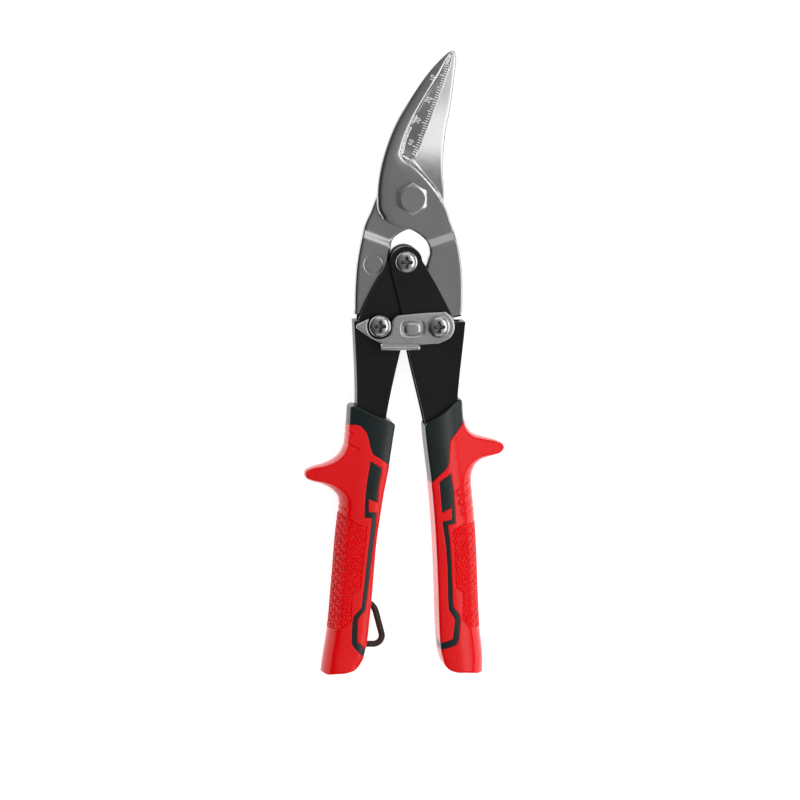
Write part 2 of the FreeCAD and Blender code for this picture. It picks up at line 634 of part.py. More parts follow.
grip("left", -1, LEFT_BASE, LEFT_OUTER, LEFT_INNER,
     [LEFT_COLLAR_RIM, LEFT_COLLAR_INNER, LEFT_SPLIT[::-1][1:], LEFT_COLLAR_OUTER],
     [LEFT_SPLIT, LEFT_INNER_EDGE, LEFT_BOTTOM, LEFT_OUTER_EDGE, LEFT_GUARD_TOP], LEFT_WINDOW,
     held=[loop_shape])
grip("right", 1, RIGHT_BASE, RIGHT_OUTER, RIGHT_INNER,
     [RIGHT_COLLAR_RIM, RIGHT_COLLAR_OUTER, RIGHT_SPLIT[1:], RIGHT_COLLAR_INNER],
     [RIGHT_SPLIT[::-1], RIGHT_GUARD, RIGHT_OUTER_EDGE, RIGHT_BOTTOM, RIGHT_INNER_EDGE],
     RIGHT_WINDOW)

# ---------------------------------------------------------------- check and write
doc.recompute()
os.makedirs("parts", exist_ok=True)
for part in parts:
    shape = part.Shape
    assert not [s for s in part.State if s in ("Invalid", "Error")], part.Label
    assert not shape.isNull() and shape.isValid(), part.Label
    shape.exportStep("parts/%s.step" % part.Label)
    box = shape.BoundBox
    print("%-24s %9.1f mm3  x %7.2f %7.2f  y %7.2f %7.2f  z %6.2f %6.2f  solids %d" % (
        part.Label, shape.Volume, box.XMin, box.XMax, box.YMin, box.YMax, box.ZMin, box.ZMax,
        len(shape.Solids)))
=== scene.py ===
import math

import bmesh
import bpy
import numpy as np
from mathutils import Matrix, Vector, geometry


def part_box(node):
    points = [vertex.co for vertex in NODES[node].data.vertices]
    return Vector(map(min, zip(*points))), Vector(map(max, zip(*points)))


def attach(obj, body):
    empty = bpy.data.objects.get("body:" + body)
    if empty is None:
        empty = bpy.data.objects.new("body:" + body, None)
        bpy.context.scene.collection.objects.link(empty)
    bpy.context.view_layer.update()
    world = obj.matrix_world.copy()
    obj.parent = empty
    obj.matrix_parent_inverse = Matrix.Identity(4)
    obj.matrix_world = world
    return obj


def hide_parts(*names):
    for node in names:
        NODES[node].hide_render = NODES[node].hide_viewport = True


# Aviation snips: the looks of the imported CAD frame.
# Outlines are in millimetres round the main pivot: +Y to the tips, +X to the right,
# z up from the floor. A row of points is read in order, and curves pass through them.

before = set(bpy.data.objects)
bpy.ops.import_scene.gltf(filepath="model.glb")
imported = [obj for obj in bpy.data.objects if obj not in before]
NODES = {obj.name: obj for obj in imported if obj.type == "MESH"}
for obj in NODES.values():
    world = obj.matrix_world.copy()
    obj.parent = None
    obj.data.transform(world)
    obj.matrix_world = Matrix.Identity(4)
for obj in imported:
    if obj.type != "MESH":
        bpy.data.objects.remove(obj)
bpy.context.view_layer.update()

MM = 0.001
bolt_low, bolt_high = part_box("pivot_bolt")
PIVOT = np.array([(bolt_low.x + bolt_high.x) / 2, (bolt_low.y + bolt_high.y) / 2, 0.0]) / MM
# Height of the tool's mid-plane.
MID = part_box("hang_loop")[0].z / MM / 2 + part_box("hang_loop")[1].z / MM / 2


# --- curves and distances
def run_along(points):
    """Distance from the start of a line to each of its points."""
    return np.concatenate([[0], np.cumsum(np.linalg.norm(np.diff(points, axis=0), axis=1))])


def close_ring(ring):
    return np.vstack([ring, ring[:1]])


def smooth_curve(points, step):
    """Evenly spaced points on a smooth curve through the given points."""
    p = np.array(points, float)
    t = run_along(p)
    s = np.linspace(0, t[-1], max(2, int(round(t[-1] / step)) + 1))
    if len(p) == 2:
        return p[0] + (p[1] - p[0]) * (s / t[-1])[:, None]
    slope = np.gradient(p, t, axis=0)
    i = np.clip(np.searchsorted(t, s, side="right") - 1, 0, len(p) - 2)
    h = (t[i + 1] - t[i])[:, None]
    u = (s[:, None] - t[i][:, None]) / h
    return ((2 * u**3 - 3 * u**2 + 1) * p[i] + (u**3 - 2 * u**2 + u) * h * slope[i]
            + (3 * u**2 - 2 * u**3) * p[i + 1] + (u**3 - u**2) * h * slope[i + 1])


def outline(stretches, step=0.4):
    """A closed ring from stretches: two points are a line, more are a smooth curve.
    Each stretch starts where the one before it ended."""
    pen, ring = stretches[-1][-1], []
    for stretch in stretches:
        ring.append(smooth_curve([pen] + [p for p in stretch if p != pen], step)[:-1])
        pen = stretch[-1]
    return np.vstack(ring)


def distance_to(points, line):
    """Shortest distance from each point to an open line of points."""
    best = np.full(len(points), np.inf)
    for start, end in zip(line[:-1], line[1:]):
        run = end - start
        t = np.clip((points - start) @ run / max(run @ run, 1e-12), 0, 1)
        best = np.minimum(best, np.hypot(*(points - start - t[:, None] * run).T))
    return best


def is_inside(points, ring):
    x, y = points[:, 0], points[:, 1]
    odd = np.zeros(len(points), bool)
    for (x0, y0), (x1, y1) in zip(ring, np.roll(ring, -1, axis=0)):
        crosses = (y0 > y) != (y1 > y)
        if crosses.any():
            odd ^= crosses & (x < (x1 - x0) * (y - y0) / (y1 - y0 if y1 != y0 else 1) + x0)
    return odd


def depth_in(points, ring):
    """Distance to a ring: positive inside it, negative outside."""
    away = distance_to(points, close_ring(ring))
    return np.where(is_inside(points, ring), away, -away)


def ease(t):
    t = np.clip(t, 0, 1)
    return t * t * (3 - 2 * t)


def quarter(t):
    """Height of a quarter circle: 0 at its foot and 1 from t = 1 on."""
    return np.sqrt(1 - (1 - np.clip(t, 0, 1)) ** 2)


def rounded(distance, radius):
    """How far a rounded edge lies below its face at a distance in from the edge."""
    return radius * (1 - quarter(distance / radius))


def falloff(distance, reach, depth, power=2):
    """A fall of the given depth that dies out at the given reach."""
    return depth * np.clip(1 - distance / reach, 0, 1) ** power


def soft_min(a, b, blend):
    h = np.clip(0.5 + 0.5 * (b - a) / blend, 0, 1)
    return b + (a - b) * h - blend * h * (1 - h)


# --- meshes
def make_piece(name, points, faces, material, body, slot, sharp=None):
    """A shaded object of points in mm round the pivot, riding on a CAD body."""
    mesh = bpy.data.meshes.new(name)
    mesh.from_pydata(((np.asarray(points) + PIVOT) * MM).tolist(), [], faces)
    bm = bmesh.new()
    bm.from_mesh(mesh)
    bmesh.ops.remove_doubles(bm, verts=bm.verts, dist=1e-7)
    bmesh.ops.recalc_face_normals(bm, faces=bm.faces)
    bm.to_mesh(mesh)
    bm.free()
    mesh.polygons.foreach_set("use_smooth", [True] * len(mesh.polygons))
    if sharp:
        mesh.set_sharp_from_angle(angle=math.radians(sharp))
    mesh.materials.append(material)
    piece = bpy.data.objects.new(name, mesh)
    bpy.context.scene.collection.objects.link(piece)
    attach(piece, body)
    return piece


def circle(centre, radius, count=48):
    a = np.linspace(0, 2 * math.pi, count, endpoint=False)
    return np.column_stack([centre[0] + radius * np.cos(a), centre[1] + radius * np.sin(a)])


def fill(ring, holes, lines, rim, spacing):
    """Triangles that fill a ring: rows along its edge, kept lines, and a grid inside."""
    tangent = np.roll(ring, -1, axis=0) - np.roll(ring, 1, axis=0)
    area = np.sum(ring[:, 0] * np.roll(ring[:, 1], -1) - ring[:, 1] * np.roll(ring[:, 0], -1))
    normal = np.column_stack([-tangent[:, 1], tangent[:, 0]]) * np.sign(area)
    normal /= np.linalg.norm(normal, axis=1)[:, None]
    groups, edges, count = [], [], 0
    for loop in [ring, *holes]:
        edges += [(count + i, count + (i + 1) % len(loop)) for i in range(len(loop))]
        groups.append(loop)
        count += len(loop)
    for line in lines:
        kept = line[depth_in(line, ring) > 0.06]
        edges += [(count + i, count + i + 1) for i in range(len(kept) - 1)
                  if np.linalg.norm(kept[i + 1] - kept[i]) < 2 * spacing]
        groups.append(kept)
        count += len(kept)
    for offset in rim:
        row = ring + normal * offset
        row = row[depth_in(row, ring) > offset * 0.93]
        for line in lines:
            row = row[distance_to(row, line) > 0.3 * spacing]
        groups.append(row)
    low, high = ring.min(0), ring.max(0)
    gx, gy = np.meshgrid(np.arange(low[0], high[0], spacing),
                         np.arange(low[1], high[1], spacing * math.sqrt(0.75)))
    gx[1::2] += spacing / 2
    grid = np.column_stack([gx.ravel(), gy.ravel()])
    grid = grid[is_inside(grid, ring)]
    grid = grid[depth_in(grid, ring) > (rim[-1] if rim else 0) + 0.5 * spacing]
    for line in lines:
        grid = grid[distance_to(grid, line) > 0.55 * spacing]
    groups.append(grid)
    points = np.vstack(groups)
    made = geometry.delaunay_2d_cdt([Vector(p) for p in points], edges, [], 0, 1e-5)
    flat = np.array([tuple(p) for p in made[0]])
    faces = np.array([f for f in made[2] if len(f) == 3])
    middle = flat[faces].mean(1)
    keep = is_inside(middle, ring)
    for hole in holes:
        keep &= ~is_inside(middle, hole)
    faces = faces[keep]
    used, index = np.unique(faces, return_inverse=True)
    return flat[used], index.reshape(faces.shape)


def slab(flat, faces, top, bottom):
    """A closed solid between two height fields over the same triangles."""
    a, b, c = (flat[faces[:, k]] for k in range(3))
    turned = (b - a)[:, 0] * (c - a)[:, 1] - (b - a)[:, 1] * (c - a)[:, 0] < 0
    faces[turned] = faces[turned][:, ::-1]
    count = len(flat)
    sides = {(i, j) for f in faces.tolist() for i, j in zip(f, f[1:] + f[:1])}
    walls = [(j, i, i + count, j + count) for i, j in sides if (j, i) not in sides]
    points = np.vstack([np.column_stack([flat, top]), np.column_stack([flat, bottom])])
    return points, faces.tolist() + (faces[:, ::-1] + count).tolist() + walls


def tube_faces(rows, columns):
    faces = []
    for r in range(rows - 1):
        a = r * columns
        for c in range(columns):
            d = (c + 1) % columns
            faces.append((a + c, a + d, a + columns + d, a + columns + c))
    return faces


# --- materials
def noise(tree, vector, scale, detail):
    made = tree.nodes.new("ShaderNodeTexNoise")
    made.inputs["Scale"].default_value = scale
    made.inputs["Detail"].default_value = detail
    tree.links.new(vector, made.inputs["Vector"])
    return made.outputs["Fac"]


def remap(tree, value, source, target=(0, 1)):
    made = tree.nodes.new("ShaderNodeMapRange")
    for socket, number in zip(("From Min", "From Max", "To Min", "To Max"), source + target):
        made.inputs[socket].default_value = number
    tree.links.new(value, made.inputs["Value"])
    return made.outputs[0]


def combine(tree, kind, operation, first, second):
    made = tree.nodes.new(kind)
    made.operation = operation
    tree.links.new(first, made.inputs[0])
    tree.links.new(second, made.inputs[1])
    return made.outputs


def mix_towards(tree, factor, colour):
    made = tree.nodes.new("ShaderNodeMix")
    made.data_type = "RGBA"
    made.inputs["B"].default_value = (*colour, 1)
    tree.links.new(factor, made.inputs["Factor"])
    return made


def greys(darker, lighter):
    return (darker,) * 3, (lighter,) * 3


def surface(name, tone, rough, metallic=0.0, grain=900.0, stretch=(1, 1, 1), bump=0.1,
            depth=0.02, wear=None, wear_width=0.35, wear_amount=0.6, patch=60.0, turn=0.0,
            constants=()):
    """A finish with tone and roughness that vary by patches and grain, fine relief, and
    worn edges. tone is (darker, lighter), rough is (smoother, rougher), depth is in mm."""
    made = bpy.data.materials.new(name)
    made.use_nodes = True
    tree = made.node_tree
    nodes, link, shader = tree.nodes, tree.links.new, tree.nodes["Principled BSDF"]
    place = nodes.new("ShaderNodeTexCoord").outputs["Object"]
    mapping = nodes.new("ShaderNodeMapping")
    mapping.inputs["Scale"].default_value = stretch
    mapping.inputs["Rotation"].default_value = (0, 0, turn)
    link(place, mapping.inputs["Vector"])
    fine = noise(tree, mapping.outputs["Vector"], grain, 4)
    broad = noise(tree, place, patch, 5)
    both = combine(tree, "ShaderNodeMath", "ADD", fine, broad)[0]
    shade = remap(tree, both, NOISE_SPAN)
    colour = mix_towards(tree, shade, tone[1])
    colour.inputs["A"].default_value = (*tone[0], 1)
    base = colour.outputs["Result"]
    if wear:
        edge = nodes.new("ShaderNodeBevel")
        edge.samples = 4
        edge.inputs["Radius"].default_value = wear_width * MM
        facing = nodes.new("ShaderNodeNewGeometry")
        same = combine(tree, "ShaderNodeVectorMath", "DOT_PRODUCT", edge.outputs["Normal"],
                       facing.outputs["Normal"])["Value"]
        mask = remap(tree, same, EDGE_SPAN, (0, wear_amount))
        ragged = combine(tree, "ShaderNodeMath", "MULTIPLY", mask, shade)[0]
        worn = mix_towards(tree, ragged, wear)
        link(base, worn.inputs["A"])
        base = worn.outputs["Result"]
    relief = nodes.new("ShaderNodeBump")
    relief.inputs["Strength"].default_value = bump
    relief.inputs["Distance"].default_value = depth * MM
    link(fine, relief.inputs["Height"])
    link(base, shader.inputs["Base Color"])
    link(remap(tree, both, NOISE_SPAN, rough), shader.inputs["Roughness"])
    link(relief.outputs["Normal"], shader.inputs["Normal"])
    shader.inputs["Metallic"].default_value = metallic
    for socket, number in constants:
        shader.inputs[socket].default_value = number
    return made


NOISE_SPAN = (0.7, 1.3)      # where the sum of the two noises mostly lies
EDGE_SPAN = (0.995, 0.85)    # how far the normal turns from flat to fully worn
FORGED = surface("forged_steel", greys(0.55, 0.61), (0.17, 0.22), 1.0,
                 grain=2600, stretch=(1, 0.2, 1), turn=0.5, bump=0.012, depth=0.004,
                 wear=(0.75, 0.75, 0.75), wear_width=0.3)
BRIGHT = surface("bright_steel", greys(0.56, 0.60), (0.20, 0.24), 1.0,
                 grain=1600, bump=0.03, depth=0.004, wear=(0.85, 0.85, 0.85))
LATCH_STEEL = surface("latch_steel", greys(0.62, 0.74), (0.26, 0.38), 1.0,
                      grain=2200, bump=0.4, depth=0.012, wear=(0.8, 0.8, 0.8))
ZINC = surface("zinc_steel", ((0.50, 0.51, 0.52), (0.68, 0.69, 0.70)), (0.30, 0.45), 1.0,
               grain=800, patch=300, bump=0.3, depth=0.01, wear=(0.8, 0.8, 0.8))
NYLON = surface("nylon", ((0.04, 0.10, 0.28), (0.06, 0.14, 0.36)), (0.40, 0.55),
                grain=1500, bump=0.2)
COATED = surface("black_channel", greys(0.003, 0.006), (0.30, 0.40),
                 grain=2600, bump=0.25, depth=0.008, wear=(0.06, 0.06, 0.06),
                 wear_width=0.45, wear_amount=0.5, constants=(("Specular IOR Level", 0.35),))
SPRING = surface("spring_steel", ((0.16, 0.16, 0.17), (0.30, 0.30, 0.31)), (0.28, 0.42), 1.0,
                 grain=1800, stretch=(1, 1, 0.3), bump=0.2)
WIRE = surface("black_wire", ((0.016, 0.014, 0.013), (0.030, 0.026, 0.024)), (0.35, 0.5),
               grain=2400, bump=0.4, depth=0.02, wear=(0.08, 0.075, 0.07))
CHARCOAL = surface("dark_rubber", ((0.006, 0.012, 0.012), (0.009, 0.017, 0.017)), (0.26, 0.36),
                   grain=3200, bump=0.3, depth=0.008, wear=(0.05, 0.06, 0.06),
                   wear_width=0.5, wear_amount=0.4)
RED = surface("red_rubber", ((0.84, 0.0012, 0.003), (0.92, 0.0022, 0.005)), (0.17, 0.24),
              grain=3000, bump=0.12, depth=0.004, wear=(0.88, 0.02, 0.02),
              wear_width=0.4, wear_amount=0.3, constants=(("Specular IOR Level", 0.35),))
MARKS = surface("scale_marks", greys(0.80, 0.92), (0.5, 0.7),
                grain=2500, bump=0.2)

# --- blades
FRONT_OUTLINE = [
    [(16.0, 57.5), (15.5, 57.9)],
    [(13.6, 56.8), (11.2, 54.7), (6.8, 50), (-0.4, 40), (-6.5, 30), (-10.6, 20), (-13.2, 10),
     (-14.1, 0), (-13.6, -5), (-12, -7.8), (-10, -9.2), (-5, -11.2), (-0.8, -12.3),
     (2.9, -14.5), (6, -18), (6.8, -21.4), (6, -24.5), (4.6, -30), (4.1, -44), (4.1, -50.1),
     (6.1, -54.7), (10.3, -56.3), (14.5, -54.7), (16.5, -50.1), (16.4, -47.1)],
    [(19.6, -46.5)],
    [(19.8, -38), (19.2, -25), (17.7, -17), (15.4, -10.6), (12.6, -2.5), (9.2, 4.4),
     (4.6, 10.2), (0.9, 15.2)],
    [(4.7, 25), (8.7, 35), (12.6, 45), (14.3, 50), (15.6, 55), (16.0, 57.5)],
]
REAR_OUTLINE = [
    [(16.6, 57.4), (15.7, 57.7)],
    [(13.5, 54.5), (10.5, 45), (6.6, 35), (2.6, 25), (-1.5, 15.5)],
    [(-8, 10), (-12.4, 4.6), (-14.8, -1), (-16.3, -5), (-18.6, -10), (-20, -15),
     (-21.9, -25), (-22.7, -35), (-22.9, -45.2)],
    [(-19.6, -46.1)],
    [(-18.9, -49.7)],
    [(-17.0, -54.2), (-12.8, -55.9), (-8.6, -54.2), (-6.7, -49.7), (-7.8, -44),
     (-9.7, -30), (-9.7, -25), (-8.9, -20), (-7.4, -15.5), (-5, -13.7), (-2.2, -12.4),
     (2.5, -12.4), (8, -9.6), (11.4, -4.8), (12.4, 0), (12.1, 10), (13.1, 25),
     (14.9, 35), (16.8, 50), (17.2, 54.5), (16.6, 57.4)],
]
# The ridge parts the thick spine from the thin strip that carries the scale.
RIDGE = [(15.3, 57.8), (13.4, 54.8), (10.9, 50), (4.9, 40), (-0.4, 30), (-4.2, 20),
         (-4.7, 17.2), (-3.2, 15), (0, 12.9), (5, 7.7), (10, 1.3), (13.5, -4.2)]
FRONT_SHIFT = np.array([0.65, -0.2])
REAR_SHIFT = np.array([1.0, -0.4])
BLADE_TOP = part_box("front_blade")[1].z / MM
THICKNESS = 5.0
BLADE_GAP = 0.1
STEP = 1.6             # depth of the strip below the spine, and the run of the step
STEP_RUN = 0.5
JOGGLE = 1.5           # how far each tang is set off from its blade
HOLE = 4.05            # radius of the holes for the bolt and the bushes
RIM = [0.06, 0.16, 0.32, 0.55, 0.9]     # rows of points along a ground edge
EDGE_REACH, EDGE_FALL = 1.0, 0.13       # slight wear of the face beside the edge


def settled(points, shift):
    """Blade outline points moved sideways, except round the tang's own pivot."""
    points = np.array(points, float)
    return points + shift * ease((points[:, 1:] + 50) / 7)


def tang_place(side):
    low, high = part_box(side + "_tang_bush")
    middle = (low + high) / 2 / MM
    return middle.x - PIVOT[0], middle.y - PIVOT[1]


def soft_ramp(t):
    """A slope from 0 to 1 that is partly straight and partly eased."""
    t = np.clip(t, 0, 1)
    return 0.3 * t + 0.7 * ease(t)


def across(points, start, end):
    """How far points lie beyond the line from start to end, on its right-hand side."""
    run = np.array(end, float) - start
    run /= np.linalg.norm(run)
    away = points - np.array(start)
    return away[:, 0] * run[1] - away[:, 1] * run[0]


FRONT_RING = settled(outline(FRONT_OUTLINE, 0.35), FRONT_SHIFT)
SPINE = settled(smooth_curve(FRONT_OUTLINE[1][:10], 0.4), FRONT_SHIFT)
RIDGE_LINE = settled(smooth_curve(RIDGE, 0.35), FRONT_SHIFT)
STRIP_END = settled([(-4.4, 17.5), (0.5, 15.8)], FRONT_SHIFT)
FRONT_JOGGLE = [settled([(5.5, -15.5), (16.6, -11.8)], FRONT_SHIFT),
                settled([(6.5, -20.9), (18.5, -17.1)], FRONT_SHIFT)]
# How steeply the strip falls to the right, at heights along the blade.
STRIP_TWIST = [(14, 0.07), (18, 0.07), (22, -0.05), (26, -0.11), (31, -0.06), (36, 0.02),
               (42, 0.08), (50, 0.08), (57, 0.0)]


def front_top(flat):
    """Height of the front blade's face, and how far each point is down the joggle."""
    y = flat[:, 1]
    edge = depth_in(flat, FRONT_RING)
    beyond_ridge = np.vstack([RIDGE_LINE, [(40, -4), (40, 70), (15.1, 70)]])
    past = depth_in(flat, beyond_ridge)
    sunk = ease(past / STEP_RUN) * 0.5 + np.clip(past / STEP_RUN, 0, 1) * 0.5
    ramp = soft_ramp(across(flat, *FRONT_JOGGLE[0]) / 5.0)
    top = np.full(len(flat), BLADE_TOP)
    # the long back is rounded, and the spine turns over just short of the ridge
    back = distance_to(flat, SPINE)
    fall = falloff(back, 1.9, 0.95) * (1 - 0.75 * ease((y - 34) / 14))
    fall += falloff(back, 7.5, 0.45, 3)
    width = 0.8 + 3.6 * ease((44 - y) / 18)
    fall += falloff(-past, width, 0.085 * width) * ease((y - 6) / 9)
    fall += falloff(-past, 0.7, 0.2)
    twist = np.interp(y, *zip(*STRIP_TWIST))
    top -= fall * (1 - sunk) + (STEP + twist * np.clip(past - STEP_RUN, 0, 6)) * sunk
    # a facet closes the strip's lower end
    facet = ease(across(flat, *STRIP_END) / 0.4)
    top -= sunk * facet * (0.1 + 0.15 * np.clip(past, 0, 5))
    top -= JOGGLE * ramp
    soft = 0.5 + 0.25 * ramp - 0.38 * ease(1.2 - back / 2)
    top -= rounded(edge, soft) * (1 - 0.7 * sunk)
    top -= falloff(edge, EDGE_REACH, EDGE_FALL) * (1 - sunk)
    return top, ramp


def front_blade():
    hole, bush = circle((0, 0), HOLE), circle(tang_place("right"), HOLE)
    lines = [RIDGE_LINE, RIDGE_LINE + np.array([0.9, 0.32]) * STEP_RUN,
             smooth_curve(STRIP_END, 0.35)]
    lines += [smooth_curve(line, 0.5) for line in FRONT_JOGGLE]
    flat, faces = fill(FRONT_RING, [hole, bush], lines, RIM, 0.45)
    top, ramp = front_top(flat)
    bottom = np.full(len(flat), BLADE_TOP - THICKNESS) - JOGGLE * ramp
    bottom += rounded(depth_in(flat, FRONT_RING), 0.15)
    bottom += 2.4 * (1 - quarter(distance_to(flat, SPINE) / 1.5))
    piece = make_piece("front_blade_steel", *slab(flat, faces, top, bottom), FORGED,
                       "front_blade", "forged_steel", sharp=38)
    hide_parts("front_blade")


REAR_JOGGLE = [[(-19.4, -11.8), (-7.2, -16.4)], [(-20.6, -15.2), (-8.6, -20)]]
REAR_CREASE = [(1.5, 15.0), (16.2, 54)]
STAMP = (-14.5, -26.2)
STAMP_RADIUS = 3.7
STAMP_DEPTH = 0.08


def rear_blade():
    ring = settled(outline(REAR_OUTLINE, 0.35), REAR_SHIFT)
    hole, bush = circle((0, 0), HOLE), circle(tang_place("left"), HOLE)
    joggle = [settled(smooth_curve(line, 0.5), REAR_SHIFT) for line in REAR_JOGGLE]
    stamp = [circle(STAMP, STAMP_RADIUS + r, 60) for r in (-0.4, -0.2, 0, 0.2, 0.4)]
    lines = joggle + [close_ring(s) for s in stamp]
    flat, faces = fill(ring, [hole, bush], lines, RIM, 0.5)
    y = flat[:, 1]
    edge = depth_in(flat, ring)
    ramp = np.where(y > -8, 0, soft_ramp(across(flat, joggle[0][0], joggle[0][-1]) / 3.6))
    top = np.full(len(flat), BLADE_TOP - THICKNESS - BLADE_GAP)
    # the face leans outward right of the crease, most of all near the tip
    lean = 0.148 * ease((y + 3) / 25) - 0.022 * ease((y - 28) / 14)
    top -= lean * np.clip(across(flat, *REAR_CREASE), 0, 20)
    top += JOGGLE * ramp
    from_ring = np.abs(np.hypot(*(flat - STAMP).T) - STAMP_RADIUS)
    top -= STAMP_DEPTH * ease(1 - from_ring / 0.35)
    bottom = np.full(len(flat), BLADE_TOP - 2 * THICKNESS - BLADE_GAP) + JOGGLE * ramp
    left_side = distance_to(flat, settled(smooth_curve(REAR_OUTLINE[2], 0.5), REAR_SHIFT))
    top -= falloff(left_side, 1.2, 0.5)
    soft = np.maximum(0.4 + 0.15 * ramp - 0.4 * ease(1.2 - left_side / 2), 0.05)
    top -= rounded(edge, soft) + falloff(edge, EDGE_REACH, EDGE_FALL)
    outer = distance_to(flat, settled(smooth_curve(REAR_OUTLINE[-1][-9:], 0.4), REAR_SHIFT))
    bottom += 2.2 * (1 - quarter(outer / 5.0)) * ease((y + 2) / 8)
    bottom += rounded(edge, 0.5)
    piece = make_piece("rear_blade_steel", *slab(flat, faces, top, bottom), FORGED,
                       "rear_blade", "forged_steel", sharp=38)
    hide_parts("rear_blade")


def ribbon(points, width, closed=False):
    """Two rows of points either side of a stroke."""
    p = np.array(points, float)
    if closed:
        run = np.roll(p, -1, axis=0) - np.roll(p, 1, axis=0)
    else:
        run = np.gradient(p, axis=0)
    run /= np.linalg.norm(run, axis=1)[:, None]
    away = np.column_stack([-run[:, 1], run[:, 0]]) * width / 2
    return p + away, p - away


DIGITS = {
    "0": [[(0.5 + 0.42 * math.cos(a), 0.85 + 0.8 * math.sin(a))
           for a in np.linspace(0, 2 * math.pi, 14, endpoint=False)]],
    "1": [[(0.2, 1.3), (0.5, 1.65), (0.5, 0.0)]],
    "2": [[(0.05, 1.3), (0.3, 1.62), (0.7, 1.6), (0.9, 1.25), (0.5, 0.65), (0.05, 0.05),
           (0.95, 0.05)]],
    "3": [[(0.1, 1.5), (0.5, 1.66), (0.85, 1.3), (0.45, 0.9), (0.9, 0.5), (0.5, 0.04),
           (0.05, 0.25)]],
    "4": [[(0.65, 1.65), (0.05, 0.5), (1.0, 0.5)], [(0.68, 0.95), (0.68, 0.0)]],
}
CUTTING_EDGE = [(15.6, 57), (15.2, 54.6), (14.2, 50), (12.6, 45), (10.6, 40), (8.7, 35),
                (6.6, 30), (4.7, 25), (2.8, 20), (1.0, 15.8)]
TICK_START, TICK_WIDTH, DIGIT_WIDTH = 0.55, 0.36, 0.30
MARK_LIFT, MARK_ROOT = 0.03, -0.25      # heights of a mark's top and bottom over the face
NUMBERS = {"10": (7.4, 47), "20": (6.1, 38.4), "30": (1.9, 30.3), "40": (-0.9, 21.8)}


def scale_marks():
    """Millimetre ticks along the cutting edge and a number every ten, raised a hair."""
    strokes = []
    edge = settled(smooth_curve(CUTTING_EDGE, 1.0), FRONT_SHIFT)
    for k in range(2, len(edge) - 1):
        run = edge[k + 1] - edge[k - 1]
        inward = np.array([run[1], -run[0]]) / np.linalg.norm(run)
        reach = 2.3 if k % 10 == 0 else 1.9 if k % 5 == 0 else 1.3
        start = edge[k] + inward * TICK_START
        strokes.append((ribbon([start, start + inward * reach], TICK_WIDTH), False))
    along = np.array([0.48, 0.88])
    upward = np.array([-0.88, 0.48])
    for text, middle in NUMBERS.items():
        for k, digit in enumerate(text):
            corner = np.array(middle) + FRONT_SHIFT + along * (1.25 * k - 1.1) - upward * 0.8
            for stroke in DIGITS[digit]:
                placed = [corner + along * x + upward * y for x, y in stroke]
                strokes.append((ribbon(placed, DIGIT_WIDTH, digit == "0"), digit == "0"))
    points, faces = [], []
    for (left, right), closed in strokes:
        count, low = len(left), len(points)
        for lift in (MARK_LIFT, MARK_ROOT):
            for side in (left, right):
                height = front_top(side)[0] + lift
                points += np.column_stack([side, height]).tolist()
        a, b, c, d = (low + count * k for k in range(4))
        for i in range(count if closed else count - 1):
            j = (i + 1) % count
            faces += [(a + i, a + j, b + j, b + i), (c + i, d + i, d + j, c + j),
                      (a + i, c + i, c + j, a + j), (b + i, b + j, d + j, d + i)]
        if not closed:
            e = count - 1
            faces += [(a, b, d, c), (a + e, c + e, d + e, b + e)]
    make_piece("front_blade_scale", np.array(points), faces, MARKS, "front_blade",
               "forged_steel", sharp=30)


front_blade()
rear_blade()
scale_marks()

# --- screws
HEAD_RADIUS = 4.35
HEAD_HEIGHT = 1.9
HEAD_RIM = 0.4         # height of the head where its dome begins
SHANK_RADIUS = 2.5
# Half width and reach of the cross recess at its mouth, and on its sloping wall.
CROSS = [(0.64, 2.35), (0.30, 2.01)]
CROSS_DEPTH = 1.3
CROSS_WALL = 0.4


def cross_points(arm, reach):
    corner = [(reach, -arm), (reach, arm), (arm, arm)]
    turns = [(1, 0), (0, 1), (-1, 0), (0, -1)]
    return [(c * x - s * y, s * x + c * y) for c, s in turns for x, y in corner]


def screw(name, body, collar=None):
    """A domed cross-head screw with its shank, and a collar (radius, end height) if any."""
    low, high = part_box(name)
    centre = np.array([(low.x + high.x) / 2, (low.y + high.y) / 2]) / MM - PIVOT[:2]
    seat = high.z / MM - HEAD_HEIGHT
    steps = ([collar] if collar else []) + [(SHANK_RADIUS, low.z / MM)]
    ring = circle(centre, HEAD_RADIUS, 96)
    lines = []
    for arm, reach in CROSS:
        cross = np.array(cross_points(arm, reach))
        lines.append(outline([[tuple(p)] for p in cross + centre], 0.22))
    for radius, _ in steps:
        lines += [circle(centre, radius, 64), circle(centre, radius - 0.07, 64)]
    lines = [close_ring(line) for line in lines]
    flat, faces = fill(ring, [], lines, [0.04, 0.1, 0.2, 0.33, 0.5], 0.27)
    dx, dy = np.abs((flat - centre).T)
    r = np.hypot(dx, dy)
    dome = np.sqrt(np.clip(1 - (r / HEAD_RADIUS) ** 2.8, 0, 1))
    top = seat + HEAD_RIM + (HEAD_HEIGHT - HEAD_RIM) * dome
    across_arm, along_arm = np.minimum(dx, dy), np.maximum(dx, dy)
    arm, reach = CROSS[0]
    inside = np.minimum(arm + 0.15 * ease((1.1 - along_arm) / 0.5) - across_arm,
                        reach - along_arm)
    top -= CROSS_DEPTH * np.clip(inside / CROSS_WALL, 0, 1)
    bottom = np.full(len(flat), seat)
    for radius, end in steps:
        bottom = np.where(r < radius - 0.03, end, bottom)
    piece = make_piece(name + "_detail", *slab(flat, faces, top, bottom), BRIGHT, body,
                       "bright_steel", sharp=32)
    # painted shade: the recess faces take the darker spring steel finish, so the cross reads
    # darker than the head, as the shadow inside the recess would
    piece.data.materials.append(SPRING)
    for face in piece.data.polygons:
        x, y = np.abs(np.array(face.center[:2]) / MM - PIVOT[:2] - centre)
        if face.normal.z > 0 and min(x, y) < 0.5 and max(x, y) < 2.2:
            face.material_index = 1
    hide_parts(name)


